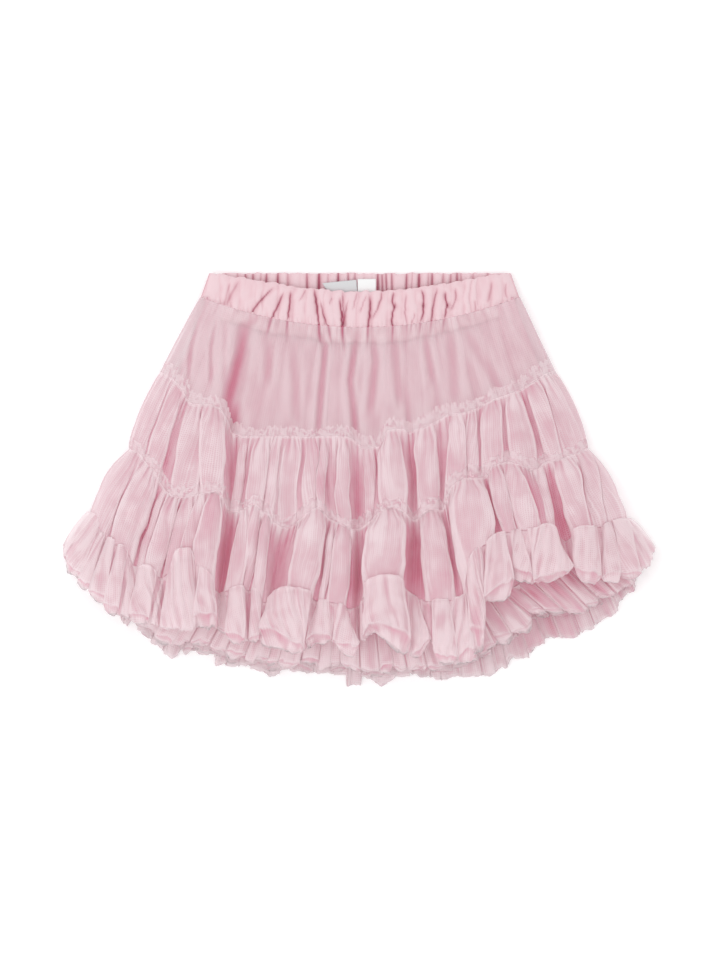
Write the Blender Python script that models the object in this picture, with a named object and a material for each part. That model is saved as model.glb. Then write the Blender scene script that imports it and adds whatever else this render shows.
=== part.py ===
"""A child's tulle skirt, laid flat on a surface with its front up.

Lengths are in millimetres until they enter a mesh, where MM turns them into metres. +X runs across the
skirt, +Y from hem to waist, +Z up from the surface. The origin is under the middle of the skirt, on the
surface.

The skirt is a flattened cone. Every seam line is a bow: it is highest at the two side folds and hangs
down between them. Each ring of cloth is a back half, which lies flat on the surface, and a front half,
which arches over it. From the surface up, the layers are outer skirt, inner skirt and lining of the back,
then lining, inner skirt and outer skirt of the front. All of them are sewn into the waist casing.
"""

import math
from collections import namedtuple

import bmesh
import bpy
import numpy as np

MM = 0.001
COLLECTION = "tulle_skirt"

# Driving sizes, in millimetres
WAIST_HALF = 106.5
WAIST_SIDE_Y = 145.2
WAIST_FRONT_DIP = 12.5
WAIST_BACK_RISE = 0.6
CASING_SEAM_HALF = 112.5
CASING_SEAM_SIDE_Y = 128.8
CASING_SEAM_DIP = 21.5
CASING_THICKNESS = 4.7
CASING_CROWN = 0.8
LABEL_THICKNESS = 1.0
CLOTH = 1.0
GATHERED_CLOTH = 1.5
GAP = 0.3
ALLOWANCE_DEPTH = 10.0

# Seam and hem lines of the plain halves: half the width, height of the ends on the Y axis, how far the
# middle hangs below the ends, and the power of the bow, 1 for a parabola and about a half for an ellipse
Line = namedtuple("Line", "half side_y dip bow")
WAIST_FRONT = Line(WAIST_HALF, WAIST_SIDE_Y, WAIST_FRONT_DIP, 1.6)
WAIST_BACK = Line(WAIST_HALF, WAIST_SIDE_Y + WAIST_BACK_RISE, 0.0, 1.0)
CASING_SEAM = Line(CASING_SEAM_HALF, CASING_SEAM_SIDE_Y, CASING_SEAM_DIP, 1.0)
BACK_SEAM_1 = Line(139.0, 75.0, 36.0, 1.0)
BACK_SEAM_2 = Line(161.0, 21.0, 46.0, 1.0)
BACK_SEAM_3 = Line(184.0, -29.0, 76.0, 0.7)
BACK_HEM = Line(203.0, -62.0, 83.5, 0.5)
INNER_SEAM_3 = Line(166.0, -26.0, 72.0, 0.7)
INNER_HEM = Line(190.0, -58.0, 75.0, 0.5)
LINING_HEM = Line(140.0, 0.0, 62.0, 0.8)

# How high each layer lies at each line: the top of the cloth at the middle (crown) and at the side folds
# (edge)
Lie = namedtuple("Lie", "crown edge")
OUTER_LIES = {
    "casing": Lie(10.7, 10.7),
    "seam_1": Lie(19.0, 4.2),
    "seam_2": Lie(27.0, 4.8),
    "seam_3": Lie(36.0, 5.8),
    "hem": Lie(40.0, 8.0),
}
INNER_LIES = {
    "casing": Lie(7.8, 7.8),
    "seam_3": Lie(26.0, 9.0),
    "hem": Lie(29.0, 16.5),
}
LINING_FRONT_LIES = {"casing": Lie(6.5, 6.5), "hem": Lie(14.0, 8.6)}

# The flat layers of the back: underside and top at the casing and at the layer's lower end
Bed = namedtuple("Bed", "casing_low casing_top low top")
OUTER_BED = Bed(0.0, 1.0, 0.0, 2.4)
ALLOWANCE_BED = Bed(1.3, 2.3, 1.3, 2.3)
INNER_BED = Bed(2.6, 3.6, 4.2, 5.6)
LINING_BED = Bed(3.9, 4.9, 5.9, 7.0)
RUFFLE_BED = Bed(0.0, 2.4, 0.0, 4.4)
INNER_RUFFLE_BED = Bed(4.8, 7.0, 5.2, 11.0)

# The front's main folds, a row for each line along a fold, from the left side fold to the right: where it
# crosses seam 1, seam 2, the ruffle's seam and the hem, and how far it stands above the arch of the skirt
# (or, below zero, sinks into it) at the three seams
Fold = namedtuple("Fold", "name seam_1 seam_2 seam_3 hem lift_1 lift_2 lift_3")
FOLDS = (
    Fold("left side", (-141, 75), (-163, 21), (-190, -24), (-208, -48), 0.0, 0.0, 0.0),
    Fold("side lobe", (-125, 61), (-146, 7), (-167, -47), (-173, -92), 0.5, 1.5, 2.0),
    Fold("side slit", (-122, 56), (-140, -4), (-158, -61), (-157, -97), -0.5, -1.5, -2.0),
    Fold("left lobe", (-106, 52), (-117, -12), (-125, -56), (-122, -103), 1.5, 3.0, 3.5),
    Fold("left lobe's edge", (-93, 41), (-96, -14), (-101, -79), (-101, -104), 1.0, 2.0, 2.0),
    Fold("left hollow", (-89, 32), (-91, -22), (-96, -80), (-96, -107), -3.0, -4.5, -5.0),
    Fold("near left lobe", (-69, 30), (-76, -19), (-87, -76), (-87, -111), 1.0, 2.0, 3.0),
    Fold("pocket's edge", (-53, 30), (-62, -30), (-67, -86), (-66, -112), 1.0, 1.0, 1.0),
    Fold("pocket", (-48, 30), (-51, -33), (-60, -83), (-58, -116), 0.0, -3.5, -4.5),
    Fold("middle lobe", (-33, 30), (-29, -20), (-40, -79), (-40, -119), 1.0, 2.5, 3.0),
    Fold("middle slit", (-24, 30), (-20, -28), (-29, -85), (-30, -117), -2.0, -1.5, -1.0),
    Fold("narrow lobe", (-8, 29), (-6, -35), (-8, -88), (-8, -121), 0.5, 2.0, 3.0),
    Fold("middle hollow", (-3, 26), (-1, -33), (-1, -86), (2, -116), -3.0, -4.5, -5.0),
    Fold("broad lobe", (21, 35), (23, -20), (18, -70), (14, -112), 1.5, 3.0, 4.0),
    Fold("broad lobe's edge", (29, 35), (33, -26), (29, -72), (30, -118), 0.5, 1.5, 2.0),
    Fold("right hollow", (34, 33), (38, -29), (37, -80), (38, -121), -1.5, -4.0, -5.0),
    Fold("near right lobe", (48, 37), (50, -21), (54, -84), (52, -124), 1.0, 2.0, 2.5),
    Fold("near right slit", (56, 41), (57, -22), (69, -83), (70, -126), -1.0, -2.0, -2.0),
    Fold("raised lobe", (72, 46), (72, 0), (79, -57), (84, -88), 1.5, 3.5, 5.0),
    Fold("raised slit", (87, 52), (87, 0), (97, -40), (103, -80), -1.0, -2.5, -2.0),
    Fold("right lobe", (106, 60), (113, 11), (121, -35), (128, -72), 1.0, 2.5, 3.0),
    Fold("right slit", (113, 63), (131, 12), (144, -43), (148, -66), -1.0, -2.5, -2.5),
    Fold("right side lobe", (120, 67), (140, 14), (156, -33), (163, -69), 0.5, 1.5, 2.0),
    Fold("right side", (137, 75), (161, 22), (188, -27), (208, -50), 0.0, 0.0, 0.0),
)

# Layers leave the flat casing gently: their height grows with this power of the way down
LEAVING_CASING = 1.6

# How far down the back's outer skirt each of its lines lies, as a share of the way from casing to hem
BACK_SHARES = {"casing": 0.0, "seam_1": 0.3, "seam_2": 0.65, "seam_3": 1.0}

# Puffing of the tiers between their seams
YOKE_PUFF = 0.5
TIER_PUFF = 2.0

# The front ruffle: how high its shoulder stands, how many times the ruffle would fit into the shoulder's
# half wave, how deep its flutes are at the hem, and what share of a fold's lift is left there
RUFFLE_SHOULDER = 4.0
RUFFLE_SHOULDER_SPAN = 1.2
RUFFLE_FLUTE = 3.0
HEM_LIFT_SHARE = 0.6

# Flutes of the other ruffles and of the back's tiers: how many, how deep, how much closer together they
# are at the sides, how fast they fade out there, and what share of a flat layer's thickness they take
INNER_FLUTES = 17
INNER_FLUTE = 2.5
BACK_FLUTES = 12
FLUTE_CROWDING = 0.12
FLUTE_FADE = 6.0
BACK_FLUTE_SHARE = 0.3

# Gathers of the casing
CASING_GATHERS = 16
CASING_GATHER = 0.6

# Grid of each piece: columns across and rows down
PLAIN_COLUMNS = 24
GATHERED_COLUMNS = 34
COLUMNS_PER_FOLD = 2
CASING_FRONT_ROWS = 3
CASING_BACK_ROWS = 2
ALLOWANCE_ROWS = 1
YOKE_ROWS = 5
TIER_ROWS = 3
RUFFLE_ROWS = 4
BACK_ROWS = 2
INNER_ROWS = 6
INNER_RUFFLE_ROWS = 2
LINING_ROWS = 4

# Blank labels in the back of the waist: corners in the plane, from the corner that shows first
FOLDED_LABEL = ((-27.0, 136.0), (-12.0, 126.0), (-1.8, 126.0), (-1.8, 141.0), (-5.0, 141.0))
SIZE_LABEL = ((-1.5, 124.0), (11.0, 124.0), (11.0, 141.5), (-1.5, 141.5))

PINK = (0.855, 0.600, 0.650, 1.0)
PALE_PINK = (0.863, 0.672, 0.706, 1.0)
DEEP_PINK = (0.780, 0.560, 0.600, 1.0)
GREY = (0.600, 0.600, 0.620, 1.0)
WHITE = (0.850, 0.850, 0.850, 1.0)
POPLIN_ROUGHNESS = 0.55
TULLE_ROUGHNESS = 0.7
LINING_ROUGHNESS = 0.5
LABEL_ROUGHNESS = 0.6


def clear_scene():
    for obj in list(bpy.data.objects):
        bpy.data.objects.remove(obj, do_unlink=True)


def make_material(name, colour, roughness):
    material = bpy.data.materials.new(name)
    material.use_nodes = True
    shader = material.node_tree.nodes["Principled BSDF"]
    shader.inputs["Base Color"].default_value = colour
    shader.inputs["Roughness"].default_value = roughness
    shader.inputs["Metallic"].default_value = 0.0
    return material


def mix(a, b, share):
    return a + (b - a) * share


def on_line(line, t):
    """A point of a bowed line, at t from -1 at the left side fold to 1 at the right."""
    return line.half * t, line.side_y - line.dip * max(0.0, 1.0 - t * t) ** line.bow


def arch(t):
    """Height of a front half's cross-section: 1 over most of the width, falling to 0 at the side folds."""
    return math.sqrt(max(0.0, 1.0 - t**4))


def flute(t, count):
    """Ridges and valleys across the width, wider in the middle, that fade out at the side folds."""
    wave = math.sin(math.pi * count * t * (1.0 - FLUTE_CROWDING * t * t))
    return wave * min(1.0, FLUTE_FADE * (1.0 - abs(t)))


def below_gap(s, length):
    """Moves s, 0 at a piece's upper seam and 1 at its lower one, so that the piece starts below the gap."""
    return mix(GAP / length, 1.0, s)


def between(upper, lower, t, s):
    """A point between two bowed lines, s from 0 on the upper line to 1 on the lower."""
    upper_x, upper_y = on_line(upper, t)
    lower_x, lower_y = on_line(lower, t)
    return mix(upper_x, lower_x, s), mix(upper_y, lower_y, s)


def fold_value(column, values):
    """Reads a fold's number between the rows, for a column counted in folds."""
    return float(np.interp(column, range(len(FOLDS)), values))


def fold_point(column, field):
    """Where the cloth of a column crosses a seam or the hem."""
    points = [getattr(fold, field) for fold in FOLDS]
    return fold_value(column, [p[0] for p in points]), fold_value(column, [p[1] for p in points])


def front_column(t):
    """The column, counted in folds, for t from -1 to 1."""
    return (t + 1.0) / 2.0 * (len(FOLDS) - 1)


def casing_point(t):
    """Where the column of front cloth at t leaves the casing: its place on seam 1, drawn in to the waist."""
    seam_x = fold_point(front_column(t), "seam_1")[0]
    left = FOLDS[0].seam_1[0]
    right = FOLDS[-1].seam_1[0]
    share = 2.0 * (seam_x - left) / (right - left) - 1.0
    return on_line(CASING_SEAM, share)


def height_on(lie, x, half):
    return mix(lie.edge, lie.crown, arch(min(1.0, abs(x) / half)))


def half_of(field):
    return max(abs(getattr(FOLDS[0], field)[0]), abs(getattr(FOLDS[-1], field)[0]))


def outer_front(upper, lower, puff, wall):
    """Place function of a tier of the front's outer skirt, between two of its lines."""

    def line_point(field, t):
        if field == "casing":
            x, y = casing_point(t)
            return x, y, height_on(OUTER_LIES["casing"], x, CASING_SEAM_HALF)
        column = front_column(t)
        x, y = fold_point(column, field)
        lifts = {
            "seam_1": [f.lift_1 for f in FOLDS],
            "seam_2": [f.lift_2 for f in FOLDS],
            "seam_3": [f.lift_3 for f in FOLDS],
            "hem": [HEM_LIFT_SHARE * f.lift_3 for f in FOLDS],
        }
        return x, y, height_on(OUTER_LIES[field], x, half_of(field)) + fold_value(column, lifts[field])

    def place(t, s):
        top = line_point(upper, t)
        foot = line_point(lower, t)
        length = math.dist(top[:2], foot[:2])
        down = below_gap(s, length)
        x, y = (mix(top[i], foot[i], down) for i in range(2))
        rise = puff * math.sin(math.pi * s) * (1.0 - t * t)
        way = down**LEAVING_CASING if upper == "casing" else down
        z = mix(top[2], foot[2], way) + rise
        return x, y, z - wall, z

    return place


def ruffle_front(t, s):
    """The front ruffle: a shoulder stands up from its seam, and the flutes spread towards the hem."""
    column = front_column(t)
    top = fold_point(column, "seam_3")
    foot = fold_point(column, "hem")
    down = below_gap(s, math.dist(top, foot))
    x = mix(top[0], foot[0], down)
    y = mix(top[1], foot[1], down)
    lift = fold_value(column, [f.lift_3 for f in FOLDS]) * mix(1.0, HEM_LIFT_SHARE, s)
    upper = height_on(OUTER_LIES["seam_3"], top[0], half_of("seam_3"))
    lower = height_on(OUTER_LIES["hem"], foot[0], half_of("hem"))
    shoulder = RUFFLE_SHOULDER * math.sin(math.pi * min(1.0, s * RUFFLE_SHOULDER_SPAN)) * arch(t)
    waves = RUFFLE_FLUTE * s * math.sin(math.pi * column) * arch(t)
    z = mix(upper, lower, down) + lift + shoulder + waves
    return x, y, z - GATHERED_CLOTH, z


def front_sheet(upper, lower, high, low, wall, rise=1.0, flutes=0, depth=0.0):
    """Place function of an arched hidden layer of the front, with flutes that deepen downwards."""

    def place(t, s):
        length = upper.side_y - lower.side_y
        down = below_gap(s, length)
        x, y = between(upper, lower, t, down)
        crown = mix(high.crown, low.crown, down**rise)
        edge = mix(high.edge, low.edge, down)
        z = mix(edge, crown, arch(t)) + depth * down * flute(t, flutes)
        return x, y, z - wall, z

    return place


def back_sheet(upper, lower, bed, flutes=0, start=0.0, end=1.0):
    """Place function of a flat layer of the back: a level underside and a top with shallow pleats."""

    def place(t, s):
        length = upper.side_y - lower.side_y
        down = below_gap(s, length)
        x, y = between(upper, lower, t, down)
        way = mix(start, end, down)
        low = mix(bed.casing_low, bed.low, way)
        top = mix(bed.casing_top, bed.top, way)
        if flutes:
            top -= BACK_FLUTE_SHARE * (top - low) * (1.0 - flute(t, flutes)) / 2.0
        return x, y, low, top

    return place


def casing_half(line, low, thickness):
    """Place function of half the waist casing: gathers on top, thinnest at the fold and at the seam."""

    def place(t, s):
        down = s * (1.0 - 0.5 * GAP / (line.side_y - CASING_SEAM.side_y))
        x, y = between(line, CASING_SEAM, t, down)
        fullness = 1.0 - (2.0 * s - 1.0) ** 2
        gathers = CASING_GATHER * (1.0 - math.cos(math.pi * CASING_GATHERS * (t + 1.0))) / 2.0
        crown = CASING_CROWN * (fullness - 1.0)
        return x, y, low, low + thickness + crown - gathers * fullness

    return place


def add_piece(name, place, columns, rows, material, collection):
    """A closed wall of cloth: a grid in the plane, thickened upwards, each point put in its place."""
    mesh = bpy.data.meshes.new(name)
    shape = bmesh.new()
    bmesh.ops.create_grid(shape, x_segments=columns, y_segments=rows, size=1.0)
    top = bmesh.ops.extrude_face_region(shape, geom=shape.faces[:], use_keep_orig=True)["geom"]
    upper = {v for v in top if isinstance(v, bmesh.types.BMVert)}
    for vertex in shape.verts:
        x, y, low, high = place(vertex.co.x, (1.0 - vertex.co.y) / 2.0)
        vertex.co = (x * MM, y * MM, (high if vertex in upper else low) * MM)
    bmesh.ops.recalc_face_normals(shape, faces=shape.faces[:])
    shape.to_mesh(mesh)
    shape.free()
    return link(name, mesh, material, collection)


def add_label(name, corners, low, material, collection):
    """A blank label: its outline in the plane, extruded to its thickness."""
    mesh = bpy.data.meshes.new(name)
    shape = bmesh.new()
    outline = [shape.verts.new((x * MM, y * MM, low * MM)) for x, y in corners]
    face = shape.faces.new(outline)
    risen = bmesh.ops.extrude_face_region(shape, geom=[face], use_keep_orig=True)["geom"]
    points = [v for v in risen if isinstance(v, bmesh.types.BMVert)]
    bmesh.ops.translate(shape, verts=points, vec=(0.0, 0.0, LABEL_THICKNESS * MM))
    bmesh.ops.recalc_face_normals(shape, faces=shape.faces[:])
    shape.to_mesh(mesh)
    shape.free()
    return link(name, mesh, material, collection)


def link(name, mesh, material, collection):
    mesh.materials.append(material)
    obj = bpy.data.objects.new(name, mesh)
    collection.objects.link(obj)
    return obj


def add_casing(collection, material):
    label_room = LABEL_THICKNESS + 2.0 * GAP
    back = casing_half(WAIST_BACK, 0.0, CASING_THICKNESS)
    front = casing_half(WAIST_FRONT, CASING_THICKNESS + label_room, CASING_THICKNESS)
    columns = 2 * CASING_GATHERS
    add_piece("casing_back", back, columns, CASING_BACK_ROWS, material, collection)
    add_piece("casing_front", front, columns, CASING_FRONT_ROWS, material, collection)


def add_labels(collection):
    low = CASING_THICKNESS + GAP
    grey = make_material("label_grey", GREY, LABEL_ROUGHNESS)
    white = make_material("label_white", WHITE, LABEL_ROUGHNESS)
    add_label("label_fold", FOLDED_LABEL, low, grey, collection)
    add_label("label_size", SIZE_LABEL, low, white, collection)


def add_outer_skirt(collection, tulle, ruffle):
    columns = COLUMNS_PER_FOLD * (len(FOLDS) - 1)
    yoke = outer_front("casing", "seam_1", YOKE_PUFF, CLOTH)
    tier_2 = outer_front("seam_1", "seam_2", TIER_PUFF, GATHERED_CLOTH)
    tier_3 = outer_front("seam_2", "seam_3", TIER_PUFF, GATHERED_CLOTH)
    add_piece("yoke_front", yoke, columns, YOKE_ROWS, tulle, collection)
    add_piece("tier_2_front", tier_2, columns, TIER_ROWS, tulle, collection)
    add_piece("tier_3_front", tier_3, columns, TIER_ROWS, tulle, collection)
    add_piece("ruffle_front", ruffle_front, columns, RUFFLE_ROWS, ruffle, collection)

    shares = BACK_SHARES
    yoke = back_sheet(CASING_SEAM, BACK_SEAM_1, OUTER_BED, 0, shares["casing"], shares["seam_1"])
    tier_2 = back_sheet(BACK_SEAM_1, BACK_SEAM_2, OUTER_BED, BACK_FLUTES, shares["seam_1"], shares["seam_2"])
    tier_3 = back_sheet(BACK_SEAM_2, BACK_SEAM_3, OUTER_BED, BACK_FLUTES, shares["seam_2"], shares["seam_3"])
    hem = back_sheet(BACK_SEAM_3, BACK_HEM, RUFFLE_BED, BACK_FLUTES)
    add_piece("yoke_back", yoke, PLAIN_COLUMNS, BACK_ROWS, tulle, collection)
    add_piece("tier_2_back", tier_2, PLAIN_COLUMNS, BACK_ROWS, tulle, collection)
    add_piece("tier_3_back", tier_3, PLAIN_COLUMNS, BACK_ROWS, tulle, collection)
    add_piece("ruffle_back", hem, GATHERED_COLUMNS, BACK_ROWS, ruffle, collection)


def add_allowance(collection, material):
    """The turned-down seam allowance: made from the yoke's own points, moved under it by the gap."""
    yoke = outer_front("casing", "seam_1", YOKE_PUFF, CLOTH)
    share = ALLOWANCE_DEPTH / (CASING_SEAM_SIDE_Y - FOLDS[0].seam_1[1])

    def place(t, s):
        x, y, low, high = yoke(t, s * share)
        return x, y, low - GAP - CLOTH, low - GAP

    columns = COLUMNS_PER_FOLD * (len(FOLDS) - 1)
    add_piece("allowance_front", place, columns, ALLOWANCE_ROWS, material, collection)
    back = back_sheet(CASING_SEAM, BACK_SEAM_1, ALLOWANCE_BED)

    def place_back(t, s):
        return back(t, s * share)

    add_piece("allowance_back", place_back, PLAIN_COLUMNS, ALLOWANCE_ROWS, material, collection)


def add_inner_skirt(collection, tulle, ruffle):
    high = INNER_LIES["casing"]
    seam = INNER_LIES["seam_3"]
    hem = INNER_LIES["hem"]
    skirt = front_sheet(CASING_SEAM, INNER_SEAM_3, high, seam, CLOTH, LEAVING_CASING)
    frill = front_sheet(INNER_SEAM_3, INNER_HEM, seam, hem, GATHERED_CLOTH, 1.0, INNER_FLUTES, INNER_FLUTE)
    add_piece("inner_front", skirt, PLAIN_COLUMNS, INNER_ROWS, tulle, collection)
    add_piece("inner_ruffle_front", frill, GATHERED_COLUMNS, INNER_RUFFLE_ROWS, ruffle, collection)
    skirt = back_sheet(CASING_SEAM, INNER_SEAM_3, INNER_BED)
    frill = back_sheet(INNER_SEAM_3, INNER_HEM, INNER_RUFFLE_BED, INNER_FLUTES)
    add_piece("inner_back", skirt, PLAIN_COLUMNS, INNER_ROWS, tulle, collection)
    add_piece("inner_ruffle_back", frill, GATHERED_COLUMNS, INNER_RUFFLE_ROWS, ruffle, collection)


def add_lining(collection, material):
    lies = LINING_FRONT_LIES
    front = front_sheet(CASING_SEAM, LINING_HEM, lies["casing"], lies["hem"], CLOTH, LEAVING_CASING)
    back = back_sheet(CASING_SEAM, LINING_HEM, LINING_BED)
    add_piece("lining_front", front, PLAIN_COLUMNS, LINING_ROWS, material, collection)
    add_piece("lining_back", back, PLAIN_COLUMNS, LINING_ROWS, material, collection)


def main():
    clear_scene()
    collection = bpy.data.collections.new(COLLECTION)
    bpy.context.scene.collection.children.link(collection)
    poplin = make_material("poplin", PINK, POPLIN_ROUGHNESS)
    tulle = make_material("tulle", PINK, TULLE_ROUGHNESS)
    ruffle = make_material("ruffle_tulle", PALE_PINK, TULLE_ROUGHNESS)
    lining = make_material("lining", DEEP_PINK, LINING_ROUGHNESS)
    add_casing(collection, poplin)
    add_labels(collection)
    add_outer_skirt(collection, tulle, ruffle)
    add_allowance(collection, poplin)
    add_inner_skirt(collection, tulle, ruffle)
    add_lining(collection, lining)


main()
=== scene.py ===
"""Tulle skirt, laid flat: every piece of cloth as a surface worked out with numpy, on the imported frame."""
import math

import bpy
import numpy as np
from bpy.props import FloatProperty, FloatVectorProperty, PointerProperty
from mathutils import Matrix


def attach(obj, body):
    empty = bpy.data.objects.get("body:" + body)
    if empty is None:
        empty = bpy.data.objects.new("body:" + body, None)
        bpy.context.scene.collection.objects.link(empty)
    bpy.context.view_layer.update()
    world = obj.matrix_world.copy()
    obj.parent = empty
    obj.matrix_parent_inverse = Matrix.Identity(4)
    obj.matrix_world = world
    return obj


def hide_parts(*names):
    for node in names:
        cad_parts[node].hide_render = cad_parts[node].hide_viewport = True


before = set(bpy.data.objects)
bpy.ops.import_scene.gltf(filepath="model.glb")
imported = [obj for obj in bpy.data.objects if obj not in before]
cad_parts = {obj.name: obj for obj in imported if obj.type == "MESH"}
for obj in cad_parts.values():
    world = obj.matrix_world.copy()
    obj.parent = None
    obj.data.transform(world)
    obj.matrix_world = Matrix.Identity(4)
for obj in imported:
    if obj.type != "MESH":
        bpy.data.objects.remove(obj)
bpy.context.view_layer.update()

bl_info = {
    "name": "Tulle Skirt",
    "version": (1, 0, 0),
    "blender": (4, 5, 0),
    "location": "3D View > Sidebar > Skirt",
    "description": "Builds a tiered tulle skirt, laid flat, around its packed frame",
    "category": "Add Mesh",
}

MM = 0.001
# How many random values a noise has before it repeats, along a line and on each side of a surface.
LINE_KNOTS, SURFACE_KNOTS = 1024, 256
# Added to the seed of gathers for their heights.
HEIGHT_SEED = 5000

# ---------------------------------------------------------------- the cut, in millimetres
# Lines across the skirt: (half width, height at the side, dip in the middle, bow of the dip).
WAIST_FRONT = (106.5, 145.2, 12.5, 1.6)
WAIST_BACK = (106.5, 145.8, 0.0, 1.0)
CASING_SEAM = (112.5, 128.8, 21.5, 1.0)
BACK_SEAM_1 = (139, 75, 36, 1.0)
BACK_SEAM_2 = (161, 21, 46, 1.0)
BACK_SEAM_3 = (184, -29, 76, 0.7)
INNER_TOP = (108, 128.8, 21.5, 1.0)
INNER_SEAM_3 = (166, -26, 72, 0.7)
LINING_TOP = (105, 128.8, 21.5, 1.0)
LINING_HEM = (140, 0, 62, 0.8)
# The inner skirt's crinkled seam: share of the way down it and half its height.
INNER_SEAM = (0.72, 5.0)

# Height of the cloth's top at a line: (crown, side edge).
OUTER_LIE = ((10.7, 10.7), (19, 4.2), (27, 4.8), (36, 5.8), (40, 8))
INNER_LIE = ((7.8, 7.8), (26, 9.0))
INNER_BACK_LIE = ((3.3, 3.3), (3.4, 3.6))
LINING_LIE = ((6.5, 6.5), (14, 8.6))
LINING_BACK_LIE = ((4.4, 4.4), (6.4, 6.0))
BACK_LIE = ((1.6, 2.4), (1.3, 1.6), (1.3, 1.8), (1.4, 2.0))
ROW_LIE = ((INNER_LIE[1], (25, 10)), ((4.6, 4.8), (5.5, 6)), ((2.4, 2.6), (3.2, 4)))

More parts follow.
